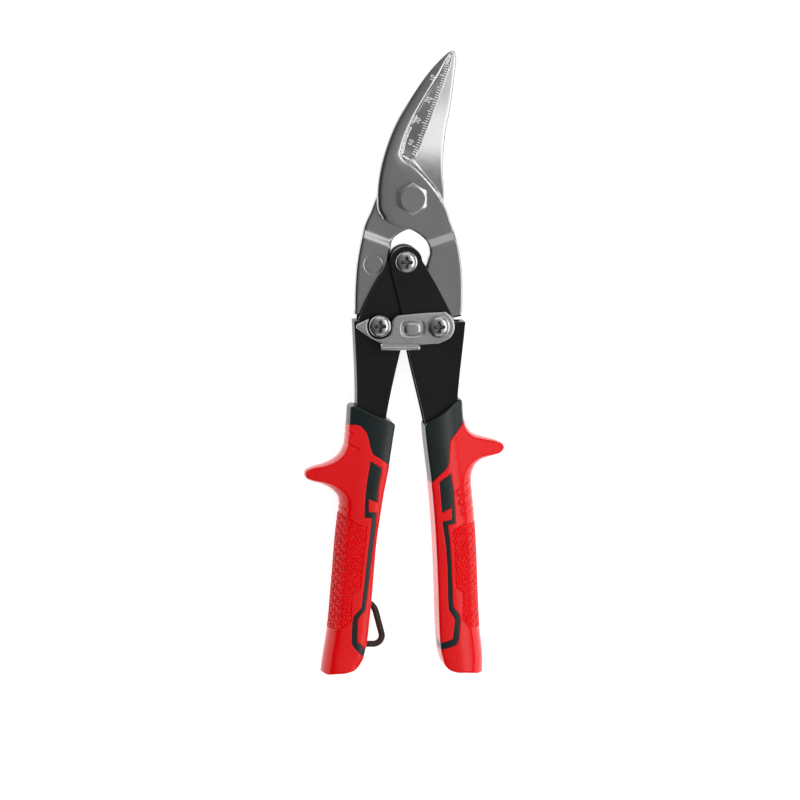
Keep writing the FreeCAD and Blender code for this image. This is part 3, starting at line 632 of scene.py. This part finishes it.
screw("handle_pivot_screw", "right_handle")
screw("left_tang_screw", "left_handle")
screw("right_tang_screw", "right_handle", (3.4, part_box("right_handle")[1].z / MM))

# --- latch
LATCH = [
    [(-20, -48.2), (-17, -46.7)],
    [(-17.6, -49.7), (-16.2, -53.4), (-12.8, -54.7), (-9.4, -53.4), (-8, -49.7), (-8, -48)],
    [(-7.2, -46.8), (-5.8, -45.7), (-5, -45.5)],
    [(4, -44.7), (13, -44.3)],
    [(15.2, -46.2), (16.6, -50.1), (15.2, -54.2), (10.3, -56.9)],
    [(2.7, -57.3)],
    [(-9.5, -57.3)],
    [(-12.5, -56.5), (-15.5, -55), (-20, -51.8), (-22, -50.3)],
    [(-21.7, -49.2), (-20, -48.2)],
]
LATCH_THICKNESS = 1.5
LATCH_HOLE = 3.48
EMBOSS = (0.2, -50.7)
EMBOSS_HALF = (3.7, 2.6)
TAB_LEFT, TAB_RIGHT = -12.5, 2.7
TAB_OUTER = -58.9
TAB_BEND = 1.6


def latch():
    ring = outline(LATCH, 0.3)
    low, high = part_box("latch_plate")
    foot = low.z / MM
    face = foot + LATCH_THICKNESS
    hole = circle(tang_place("right"), LATCH_HOLE, 64)
    flat, faces = fill(ring, [hole], [], [0.08, 0.2, 0.38, 0.6], 0.3)
    edge = depth_in(flat, ring)
    top = face - rounded(edge, 0.55)
    q = np.abs((flat - EMBOSS) / EMBOSS_HALF)
    inward = (1 - (q[:, 0] ** 3 + q[:, 1] ** 3) ** (1 / 3)) * EMBOSS_HALF[1]
    top -= 0.55 * np.exp(-((inward + 0.15) / 0.4) ** 2)
    top += 0.8 * quarter(inward / 1.5)
    bottom = np.full(len(flat), foot) + rounded(edge, 0.3)
    piece = make_piece("latch_plate_detail", *slab(flat, faces, top, bottom), LATCH_STEEL,
                       "latch", "bright_steel", sharp=38)
    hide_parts("latch_plate")
    # thumb tab: the plate's lower edge folded up towards the viewer
    tip, fold_y, fold_z = high.z / MM, TAB_OUTER + TAB_BEND + 0.1, foot + TAB_BEND + 0.1
    outside, inside = ([(fold_y - radius * math.sin(a), fold_z - radius * math.cos(a))
                        for a in np.linspace(0, math.pi / 2, 8)]
                       for radius in (TAB_BEND + 0.1, 0.2))
    nose = [(TAB_OUTER + LATCH_THICKNESS / 2 * (1 - math.cos(a)), tip - 0.5 + 0.5 * math.sin(a))
            for a in np.linspace(0, math.pi, 9)]
    section = np.array([(-56.6, foot)] + outside + nose + inside[::-1] + [(-56.6, face)])
    xs = [TAB_LEFT, -12.35, -12.0, -11.4, *np.linspace(-10, 1.4, 8), 2.0, 2.4, 2.6, TAB_RIGHT]
    centre = section.mean(axis=0)
    loops = []
    for x in xs:
        shrink = 0.35 * (1 - quarter(min(x - TAB_LEFT, TAB_RIGHT - x) / 0.5))
        pull = section - centre
        pull /= np.linalg.norm(pull, axis=1)[:, None]
        inset = section - pull * shrink
        loops.append(np.column_stack([np.full(len(section), x), inset]))
    loops = np.array(loops)
    rows, columns = loops.shape[:2]
    faces = tube_faces(rows, columns)
    faces += [tuple(range(columns)), tuple(range((rows - 1) * columns, rows * columns))]
    make_piece("latch_thumb_tab", loops.reshape(-1, 3), faces, LATCH_STEEL, "latch",
               "bright_steel", sharp=38)


latch()

# --- grips
# Silhouettes run from the bottom corner up to the collar. The guard stands out of the
# outer side; "body" is the outer side as if it had no guard.
LEFT_GRIP = {
    "hand": "left", "side": -1,
    "inner": [(-21.2, -183.7), (-19.2, -180), (-18.1, -175), (-16.9, -165), (-15.9, -155),
        (-15.1, -145), (-14.2, -135), (-12.8, -125), (-11.2, -115), (-9.2, -105), (-7.6, -95),
        (-6.5, -88.3)],
    "outer": [(-35.5, -185.9), (-34.8, -181), (-33.2, -171), (-31.3, -151), (-29.6, -131),
        (-28.7, -123.5), (-28.3, -120), (-28.5, -117.6), (-29.8, -115.6), (-31.5, -114),
        (-35, -112.2), (-39.2, -111), (-41.3, -109.8), (-41.8, -108.1), (-41.2, -106.8),
        (-39.4, -105.8), (-34, -104.2), (-30, -102.2), (-27.6, -99.8), (-26.4, -97), (-25.7, -91),
        (-25.3, -85), (-25.1, -81.3)],
    "bottom": [(-21.2, -183.7), (-23, -185.1), (-26, -186.1), (-30, -186.5), (-33.8, -186.6),
        (-35.5, -185.9)],
    "rim": [(-6.5, -88.3), (-10.3, -86.3), (-15, -84.5), (-20, -82.2), (-22.4, -81.2),
        (-25.1, -81.3)],
    "body": [(-35.4, -186), (-31.3, -151), (-28.7, -123.5), (-26.6, -105), (-25, -90),
        (-24.4, -80)],
    "tip": -108.0,
    "split": [(-30, -88.6), (-26, -88.4), (-22.2, -88.4), (-20, -89.2), (-18.3, -91.2),
        (-17.4, -94), (-16.6, -97.6), (-15.8, -99.8), (-12, -102.2), (-9.2, -104.2),
        (-6, -106.4)],
    "inlay": [(-16.7, -102.4), (-17.5, -107), (-18.4, -113), (-18.9, -118), (-19.1, -124.8),
        (-16.2, -125), (-17, -132), (-18, -140), (-18.8, -148), (-20.3, -160.2), (-23.5, -163.8),
        (-23.9, -166), (-24.3, -174.2), (-22.5, -176.8), (-17.5, -181.4), (-15, -178.4),
        (-18.4, -176.7), (-21.9, -173.4), (-21.6, -166), (-21.6, -164.7), (-18.6, -160.9),
        (-17.2, -150), (-16.2, -141), (-14.7, -130), (-14.1, -122.7), (-17.3, -122.4),
        (-17.3, -117.5), (-13.7, -118.9), (-13.4, -113), (-12, -105.3)],
    "tread": [(-18.2, -128.6), (-18.5, -133), (-19.4, -140), (-20.3, -149), (-20.7, -152.5),
        (-23.8, -154.8), (-24.2, -160), (-24.1, -165), (-27.2, -168), (-45, -171.6),
        (-45, -119.3), (-30, -122), (-25, -125.4), (-21.5, -127.6)],
    "grooves": [[(-31, -91.6), (-25.7, -91.8), (-23.4, -92)],
                [(-31, -96.2), (-26.8, -96.6), (-24.5, -96.7), (-22.9, -97.4), (-21.2, -97.9)],
                [(-31, -118.6), (-28.6, -120), (-25.7, -121.9)],
                [(-31, -121.2), (-28.6, -122.5), (-26.6, -123.6)]],
    "hairpins": [],
}
RIGHT_GRIP = {
    "hand": "right", "side": 1,
    "inner": [(12.6, -183.3), (11.2, -178), (10.6, -170), (10.1, -155), (9.5, -140), (8.6, -125),
        (7.4, -112), (5.9, -100), (5.0, -92), (4.8, -89.2)],
    "outer": [(28.4, -186.5), (28.4, -181), (27.3, -170), (26.5, -155), (26, -141), (25.2, -127),
        (24.2, -116), (23.8, -111), (24.3, -107.6), (25.6, -105), (28, -103.1), (32.1, -101.8),
        (35.7, -100.4), (36.8, -98.7), (36.2, -97.1), (33.8, -95.8), (28, -94.2), (24.6, -93),
        (22.4, -90.8), (21.2, -88), (20.7, -84), (20.5, -79.6)],
    "bottom": [(12.6, -183.3), (14.2, -185.1), (16.4, -186.1), (22, -186.6), (26.3, -186.8),
        (28.4, -186.5)],
    "rim": [(4.8, -89.2), (6, -87.6), (10, -85.3), (13.5, -82.9), (17, -79.9), (18.6, -79.0),
        (20.5, -79.6)],
    "body": [(28.8, -186), (26.5, -155), (25.2, -127), (23, -105), (21.4, -90), (20.4, -79)],
    "tip": -98.7,
    "split": [(26, -83), (20.5, -87.5), (18.8, -89.8), (17, -92.3), (15, -94.6), (14.5, -96),
        (14.2, -103.5), (13.9, -104.9), (12.5, -106.7), (10, -108.9), (7.2, -111.8), (2, -116.4)],
    "inlay": [(15, -107.6), (15.5, -110.5), (16.2, -115), (16.5, -120), (16.8, -127.4),
        (13.8, -128.1), (14.5, -133), (15, -140), (15.4, -148), (16, -160.3), (18.5, -163.4),
        (18.8, -165.5), (18.2, -173.4), (17, -175.5), (13, -176.9), (8, -178.2), (8, -175.2),
        (13, -174), (15.6, -173), (16.4, -167), (16.5, -165.3), (14, -161.2), (13.7, -155),
        (13.5, -145), (13, -137), (12.3, -132), (11.5, -126.6), (15.2, -125.8), (15.2, -121.3),
        (11.3, -123.2), (11, -119), (10.3, -111)],
    "tread": [(15.5, -130.3), (16.3, -138), (16.7, -145), (16.8, -152.5), (19.7, -154.7),
        (19.8, -160), (19.4, -165.2), (22, -168.2), (40, -173), (40, -122), (24, -127.2),
        (19.7, -128.3), (18, -129.3)],
    "grooves": [],
    "hairpins": [(0, 0), (0.95, -3.8), (1.75, -7.55)],
}
HAIRPIN = [(27, -108.1), (23.1, -110.6), (19.2, -113.2), (17.6, -114.4), (17.1, -115.1),
           (17.5, -116), (18.4, -116.6), (19.4, -116.1), (23.1, -113.6), (27, -111)]
CROWN = 10.45          # half thickness at the crown line
CROWN_AT = 0.30        # where the crown line runs, as a share of the body's width
CREST_AT = 0.74        # where the front face ends
FRONT_FALL = 3.1       # how steeply the front face falls beyond the crown line
SIDE_SLOPE = 0.29      # slope of the side beyond the front face
PALM_FALL = 0.8        # how far the face falls from the crown line to the palm side
NECK_FALL = 0.8        # how much lower the crown is at the neck
CORNER = 0.8           # radius of the palm-side edges
BOTTOM_CORNER = 0.9
SINK = 0.8             # how deep the cover lies under the dark core
INLAY_DEPTH = 0.18
GROOVE_DEPTH = 0.5
TREAD_PITCH = 3.1
TREAD_BED = 0.50       # how deep the tread's ground lies, and how high its rings stand
TREAD_RELIEF = 0.52
CHANNEL_GAP = 0.35     # clearance between a core's mouth and the steel channel


def x_along(points, y):
    line = smooth_curve(points, 0.3)
    return np.interp(y, line[:, 1], line[:, 0])


def grip_rows(grip, steps):
    """Heights along the grip from its bottom up: steps are (up to this height, spacing)."""
    low = (grip["inner"][0][1] + grip["outer"][0][1]) / 2
    levels = [low, low + 0.05, low + 0.13, low + 0.25, low + 0.4, low + 0.6, low + 0.85]
    for end, spacing in steps:
        count = max(1, int(round((end - levels[-1]) / spacing)))
        levels += list(np.linspace(levels[-1], end, count + 1)[1:])
    return np.array(levels)


def grip_height(grip, flat):
    """Height over the mid-plane of the grip's front at points of its outline plane."""
    side = grip["side"]
    outer = smooth_curve(grip["outer"], 0.4)
    d_in = distance_to(flat, smooth_curve(grip["inner"], 0.5))
    d_bottom = distance_to(flat, smooth_curve(grip["bottom"], 0.4))
    d_out = distance_to(flat, outer[outer[:, 1] <= grip["tip"] + 0.2])
    d_top = distance_to(flat, outer[outer[:, 1] >= grip["tip"] - 0.2])
    y = flat[:, 1]
    near, far = x_along(grip["inner"], y), x_along(grip["body"], y)
    width = side * (far - near)
    share = side * (flat[:, 0] - near) / width
    fall = FRONT_FALL * ((np.clip(share, CROWN_AT, CREST_AT) - CROWN_AT) / (1 - CROWN_AT)) ** 2
    fall += np.clip(share - CREST_AT, 0, None) * width * SIDE_SLOPE
    fall += PALM_FALL * ((CROWN_AT - np.clip(share, 0, CROWN_AT)) / CROWN_AT) ** 2
    face = CROWN - NECK_FALL * ease((y + 112) / 28) - fall
    face -= rounded(d_in, CORNER) + rounded(d_bottom, BOTTOM_CORNER)
    height = soft_min(face, 10.2 * quarter(d_out / 7.5) + 0.06 * d_out, 0.35)
    return soft_min(height, 10.0 * quarter(d_top / 3.4) + 0.3 * d_top, 0.35)


def grip_front(grip, levels, counts, start=0.0):
    """The front half of the grip as rows of points, from the palm's mid-plane over the
    front to the outer mid-plane. counts is how many on the wall, its edge and the rest,
    and start is the share of the width to begin at."""
    inner, outer = grip["inner"], grip["outer"]
    low, high = levels[0], (inner[-1][1] + outer[-1][1]) / 2
    tilt = (inner[0][1] - outer[0][1]) / 2 * (1 - ease((levels - low) / 12))
    tilt += (inner[-1][1] - outer[-1][1]) / 2 * ease((levels - high + 24) / 24)
    if start:
        tilt[:] = 0
    y_in, y_out = levels + tilt, levels - tilt
    first = np.column_stack([x_along(inner, y_in), y_in])
    last = np.column_stack([x_along(outer, y_out), y_out])
    u = np.concatenate([np.linspace(0, 0.1, 60)[:-1], np.linspace(0.1, 0.9, 130)[:-1],
                        1 - 0.1 * np.linspace(1, 0, 80) ** 2])
    u = start + (1 - start) * u
    flat = first[:, None] * (1 - u)[None, :, None] + last[:, None] * u[None, :, None]
    ends = [] if start else [(grip["bottom"], 1 - ease((levels - low) / 12)),
                             (grip["rim"], ease((levels - high + 16) / 16))]
    for curve, weight in ends:
        line = smooth_curve(curve, 0.1)
        share = np.linspace(0, 1, len(line))
        chord = line[0] + (line[-1] - line[0]) * share[:, None]
        bulge = np.column_stack([np.interp(u, share, (line - chord)[:, k]) for k in (0, 1)])
        flat = flat + bulge[None] * weight[:, None, None]
    height = np.maximum(grip_height(grip, flat.reshape(-1, 2)).reshape(flat.shape[:2]), 0)
    height[:, -1] = 0
    wall, edge, rest = counts
    made = np.zeros((len(flat), sum(counts), 3))
    for r in range(len(flat)):
        line = np.column_stack([flat[r], height[r]])
        arc = run_along(line)
        reach = np.hypot(*(flat[r] - flat[r, 0]).T)
        turn = np.interp(CORNER + 0.2, reach, arc) if edge else 0.0
        stops = np.concatenate([np.linspace(0, turn, edge + 1)[:-1],
                                np.linspace(turn, arc[-1], rest)])
        over = np.column_stack([np.interp(stops, arc, line[:, k]) for k in range(3)])
        climb = np.linspace(0, height[r, 0], wall + 1)[:-1]
        foot = np.column_stack([np.tile(flat[r, 0], (wall, 1)), climb])
        made[r] = np.vstack([foot, over])
    return made + np.array([0, 0, MID])


def push_out(points, distance):
    """Points moved along their surface's normal."""
    normal = np.cross(np.gradient(points, axis=1), np.gradient(points, axis=0))
    normal /= np.maximum(np.linalg.norm(normal, axis=2), 1e-9)[:, :, None]
    if normal[:, :, 2].mean() < 0:
        normal = -normal
    on_seam = np.abs(points[:, :, 2] - MID) < 1e-6
    normal[:, :, 2][on_seam] = 0
    return points + normal * distance[:, :, None]


def closed_loop(front, first=1):
    """Rows of the whole way round: the front half, then its mirror image behind.
    first is 0 where the front's first column isn't on the mid-plane."""
    back = front[:, first:-1][:, ::-1].copy()
    back[:, :, 2] = 2 * MID - back[:, :, 2]
    return np.concatenate([front, back], axis=1)


def bridge(start, half, first):
    """Faces that close a loop from its front half to its back half."""
    columns = 2 * half - 1 - first
    back = [(columns - 1 + first - c) % columns for c in range(half)]
    faces = [(start, start + 1, start + back[1])] if first else []
    for c in range(first, half - 2):
        faces.append((start + c, start + c + 1, start + back[c + 1], start + back[c]))
    faces.append((start + half - 2, start + half - 1, start + back[half - 2]))
    return faces


def skin(loops, half, first=1):
    """Faces round the loops and over both ends."""
    rows, columns = loops.shape[:2]
    return (tube_faces(rows, columns) + bridge(0, half, first)
            + bridge((rows - 1) * columns, half, first))


def dark_depth(grip, flat):
    """How far inside the dark parts a point lies: the collar, the window and the line."""
    side = grip["side"]
    split = np.array(grip["split"], float)
    collar = np.vstack([split, [(-side * 40, split[-1][1]), (-side * 40, -60),
                                (side * 60, -60), (side * 60, split[0][1])]])
    return np.maximum(depth_in(flat, collar), depth_in(flat, np.array(grip["inlay"])))


def relief(grip, flat):
    """Depth of the hairpins and grooves on the neck."""
    lines = [smooth_curve(line, 0.5) for line in grip["grooves"]]
    lines += [smooth_curve(HAIRPIN, 0.3) + shift for shift in grip["hairpins"]]
    cut = np.zeros(len(flat))
    for line in lines:
        cut = np.maximum(cut, ease(1.25 - distance_to(flat, line) / 0.28))
    return GROOVE_DEPTH * cut


def grip_cover(grip):
    levels = grip_rows(grip, [(-172, 0.32), (-159, 0.32), (-128, 0.55), (-109, 0.21),
                              (-101, 0.28), (-90, 0.36)])
    front = grip_front(grip, levels, (12, 7, 118))
    flat = front[:, :, :2].reshape(-1, 2)
    shape = front.shape[:2]
    sink = SINK * ease((dark_depth(grip, flat) + 0.05) / 0.4)
    tread = ease((depth_in(flat, np.array(grip["tread"], float)) + 0.12) / 0.3) * 0.7
    offset = -np.maximum(np.maximum(sink, tread), relief(grip, flat))
    front = push_out(front, offset.reshape(shape))
    loops = closed_loop(front)
    piece = make_piece(grip["hand"] + "_grip_red_cover", loops.reshape(-1, 3),
                       skin(loops, shape[1]), RED, grip["hand"] + "_handle", "red_rubber")
    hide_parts(grip["hand"] + "_grip_cover")


def hex_relief(s, y):
    """Small raised hexagon rings with a dot in each, on a triangular lattice."""
    across_rows = TREAD_PITCH * math.sqrt(3) / 2
    best_x, best_y = np.zeros_like(s), np.full_like(s, 99.0)
    nearest = np.full_like(s, 99.0)
    column = np.round(s / across_rows)
    for shift in (-1, 0, 1):
        k = column + shift
        row = np.round(y / TREAD_PITCH - (k % 2) / 2)
        dx, dy = s - k * across_rows, y - (row + (k % 2) / 2) * TREAD_PITCH
        closer = np.hypot(dx, dy) < nearest
        nearest = np.where(closer, np.hypot(dx, dy), nearest)
        best_x, best_y = np.where(closer, dx, best_x), np.where(closer, dy, best_y)
    size = np.maximum(np.abs(best_y), np.abs(best_x) * math.sqrt(0.75) + np.abs(best_y) / 2)
    return np.maximum(ease(1.5 - np.abs(size - 1.05) / 0.27), ease(1.5 - nearest / 0.34))


def grip_tread(grip):
    levels = np.arange(-171.5, -120.5, 0.205)
    front = grip_front(grip, levels, (0, 0, 104), start=0.30)
    flat = front[:, :, :2].reshape(-1, 2)
    shape = front.shape[:2]
    arc = np.linalg.norm(np.diff(front, axis=1), axis=2)
    from_seam = np.concatenate([np.cumsum(arc[:, ::-1], axis=1)[:, ::-1],
                                np.zeros((len(levels), 1))], axis=1)
    raised = hex_relief(from_seam.ravel(), flat[:, 1])
    inside = depth_in(flat, np.array(grip["tread"], float))
    offset = -TREAD_BED + TREAD_RELIEF * raised * ease((inside - 0.2) / 0.25)
    # outside its field the tread lies hidden under the cover
    offset -= 0.65 * ease((0.05 - inside) / 0.2)
    front = push_out(front, offset.reshape(shape))
    loops = closed_loop(front, first=0)
    make_piece(grip["hand"] + "_grip_tread", loops.reshape(-1, 3), skin(loops, shape[1], 0), RED,
               grip["hand"] + "_handle", "red_rubber")


def channel_span(grip, y):
    """Where the channel's two sides stand at a height along the grip."""
    mesh = NODES[grip["hand"] + "_handle"].data
    points = np.array([v.co for v in mesh.vertices]) / MM - PIVOT
    pairs = np.array([e.vertices[:] for e in mesh.edges])
    a, b = points[pairs[:, 0]], points[pairs[:, 1]]
    cut = (a[:, 1] - y) * (b[:, 1] - y) < 0
    a, b = a[cut], b[cut]
    x = a[:, 0] + (b[:, 0] - a[:, 0]) * (y - a[:, 1]) / (b[:, 1] - a[:, 1])
    side = grip["side"]
    return (x.min(), x.max()) if side > 0 else (x.max(), x.min())


def grip_core(grip):
    side = grip["side"]
    high = (grip["inner"][-1][1] + grip["outer"][-1][1]) / 2
    levels = grip_rows(grip, [(-168, 0.6), (-128, 0.9), (-100, 0.7), (high - 1.2, 0.6)])
    levels = np.append(levels, high - np.array([0.9, 0.6, 0.35, 0.16, 0.05, 0.0]))
    front = grip_front(grip, levels, (10, 7, 84))
    flat = front[:, :, :2].reshape(-1, 2)
    shape = front.shape[:2]
    outside = ease((-dark_depth(grip, flat) - 0.35) / 0.6)
    offset = (-INLAY_DEPTH - 0.7 * outside).reshape(shape)
    front = push_out(front, offset - rounded((high - levels)[:, None], 0.7))
    loops = closed_loop(front)
    last = loops[-1]
    low_side, high_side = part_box(grip["hand"] + "_handle")
    bottom_z, top_z = low_side.z / MM - CHANNEL_GAP, high_side.z / MM + CHANNEL_GAP
    rim = smooth_curve(grip["rim"], 0.2)
    rim = rim[np.argsort(rim[:, 0])]
    middle = (grip["rim"][0][1] + grip["rim"][-1][1]) / 2
    near, far = channel_span(grip, middle)
    ends = []
    for x in (near, far):
        y = np.interp(x, rim[:, 0], rim[:, 1])
        inner_x, outer_x = channel_span(grip, y)
        ends.append(inner_x - side * CHANNEL_GAP if x == near else outer_x + side * CHANNEL_GAP)
    share = run_along(front[-1])
    share /= share[-1]
    half = []
    for z_reach in (top_z - MID, MID - bottom_z):
        corner = np.array([(ends[0], 0), (ends[0], z_reach), (ends[1], z_reach), (ends[1], 0)])
        run = run_along(corner)
        half.append(np.column_stack([np.interp(share * run[-1], run, corner[:, k])
                                     for k in (0, 1)]))
    x = np.concatenate([half[0][:, 0], half[1][-2:0:-1, 0]])
    z = np.concatenate([MID + half[0][:, 1], MID - half[1][-2:0:-1, 1]])
    mouth = np.column_stack([x, np.interp(x, rim[:, 0], rim[:, 1]), z])
    slant = (channel_span(grip, middle)[0] - channel_span(grip, middle - 4)[0]) / 4
    extra = [last + (mouth - last) * t for t in (0.3, 0.7, 0.94)]
    extra += [mouth - np.array([slant, 1, 0]) * depth for depth in (0.25, 1.5, 3.5)]
    loops = np.concatenate([loops, np.array(extra)])
    piece = make_piece(grip["hand"] + "_grip_dark_core", loops.reshape(-1, 3),
                       skin(loops, shape[1]), CHARCOAL, grip["hand"] + "_handle",
                       "dark_rubber", sharp=60)
    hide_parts(grip["hand"] + "_grip_core")


for grip in (LEFT_GRIP, RIGHT_GRIP):
    grip_cover(grip)
    grip_tread(grip)
    grip_core(grip)

# --- finishes of CAD nodes
# A node that isn't named here is zinc plated.
FINISH = {name: material for material, names in [
    (BRIGHT, "pivot_bolt handle_pivot_screw left_tang_screw right_tang_screw"),
    (NYLON, "pivot_nut_insert"), (LATCH_STEEL, "latch_plate"), (WIRE, "hang_loop"),
    (COATED, "left_handle right_handle"),
    (SPRING, "latch_wave_washer opening_spring"),
    (CHARCOAL, "left_grip_core right_grip_core"),
    (RED, "left_grip_cover right_grip_cover"),
    (FORGED, "front_blade rear_blade"),
] for name in names.split()}
BEVELS = {"right_handle": 0.35, "left_handle": 0.35, "pivot_bolt": 0.25, "pivot_nut": 0.3,
          "pivot_washer": 0.2, "latch_plate": 0.3}
for name, node in NODES.items():
    node.data.materials.clear()
    node.data.materials.append(FINISH.get(name, ZINC))
    weld = node.modifiers.new("weld", "WELD")
    weld.merge_threshold = 1e-6
    if not name.startswith(("opening", "hang")):
        bevel = node.modifiers.new("rounded_edges", "BEVEL")
        bevel.width = BEVELS.get(name, 0.12) * MM
        bevel.segments = 3
        bevel.limit_method = "ANGLE"
        bevel.angle_limit = math.radians(32)
        bevel.use_clamp_overlap = True

# --- floor, light, camera
def make_floor():
    size = 6.0
    mesh = bpy.data.meshes.new("floor")
    mesh.from_pydata([(-size, -size, 0), (size, -size, 0), (size, size, 0), (-size, size, 0)],
                     [], [(0, 1, 2, 3)])
    floor = bpy.data.objects.new("floor", mesh)
    floor.location.z = -0.0002
    made = surface("pale_floor", greys(0.50, 0.52), (0.6, 0.7),
                   grain=30, patch=3, bump=0.02, constants=(("Emission Strength", 0.82),))
    mesh.materials.append(made)
    bpy.context.scene.collection.objects.link(floor)


def softbox(name, place, size, power, glossy=True):
    lamp = bpy.data.lights.new(name, "AREA")
    lamp.shape = "RECTANGLE"
    lamp.size, lamp.size_y = size
    lamp.energy = power
    holder = bpy.data.objects.new(name, lamp)
    holder.location = place
    holder.rotation_mode = "QUATERNION"
    holder.rotation_quaternion = (-Vector(place)).to_track_quat("-Z", "Y")
    holder.visible_glossy = glossy
    holder.visible_camera = False
    bpy.context.scene.collection.objects.link(holder)


def make_world():
    """Dim surroundings, darker still to the left and below the grips."""
    world = bpy.data.worlds.new("studio")
    world.use_nodes = True
    nodes, link = world.node_tree.nodes, world.node_tree.links.new
    place = nodes.new("ShaderNodeTexCoord")
    turned = nodes.new("ShaderNodeMapping")
    turned.inputs["Rotation"].default_value = (0, 0, math.radians(-30))
    link(place.outputs["Generated"], turned.inputs["Vector"])
    part = nodes.new("ShaderNodeSeparateXYZ")
    link(turned.outputs["Vector"], part.inputs[0])
    sideways = remap(world.node_tree, part.outputs["X"], (-0.8, 0.1), (0.02, 0.27))
    link(sideways, nodes["Background"].inputs["Strength"])
    nodes["Background"].inputs["Color"].default_value = (1, 1, 1, 1)
    bpy.context.scene.world = world


def make_camera():
    """A long lens almost straight above the front face, a little to the left and tip side."""
    yaw, pitch = math.radians(-5.5), math.radians(6.0)
    target = Vector((PIVOT[0] - 5.1, PIVOT[1] - 78.54, 21.0)) * MM
    distance, width = 3.0, 312.2 * MM
    back = Vector((math.tan(yaw), math.tan(pitch), 1)).normalized()
    lens = bpy.data.cameras.new("camera")
    lens.sensor_width = 36
    lens.lens = 36 * distance / width
    camera = bpy.data.objects.new("camera", lens)
    right = Vector((0, 1, 0)).cross(back).normalized()
    turned = Matrix((right, back.cross(right), back)).transposed()
    camera.matrix_world = Matrix.Translation(target + back * distance) @ turned.to_4x4()
    bpy.context.scene.collection.objects.link(camera)
    bpy.context.scene.camera = camera


make_floor()
# name, place and size in metres, power in watts
softbox("right_softbox", (0.85, 0.05, 1.50), (1.5, 0.56), 4.8)
softbox("right_low_softbox", (1.9, 0.0, 0.35), (2.0, 0.7), 9)
softbox("tip_softbox", (0.15, 1.3, 1.3), (1.4, 0.8), 3.0)
softbox("grip_softbox", (0.15, -1.4, 1.3), (1.4, 0.8), 1.6)
softbox("top_fill", (-0.1, 0.1, 2.4), (2.4, 2.4), 30, glossy=False)
make_world()
make_camera()
bpy.context.scene.view_settings.view_transform = "Standard"
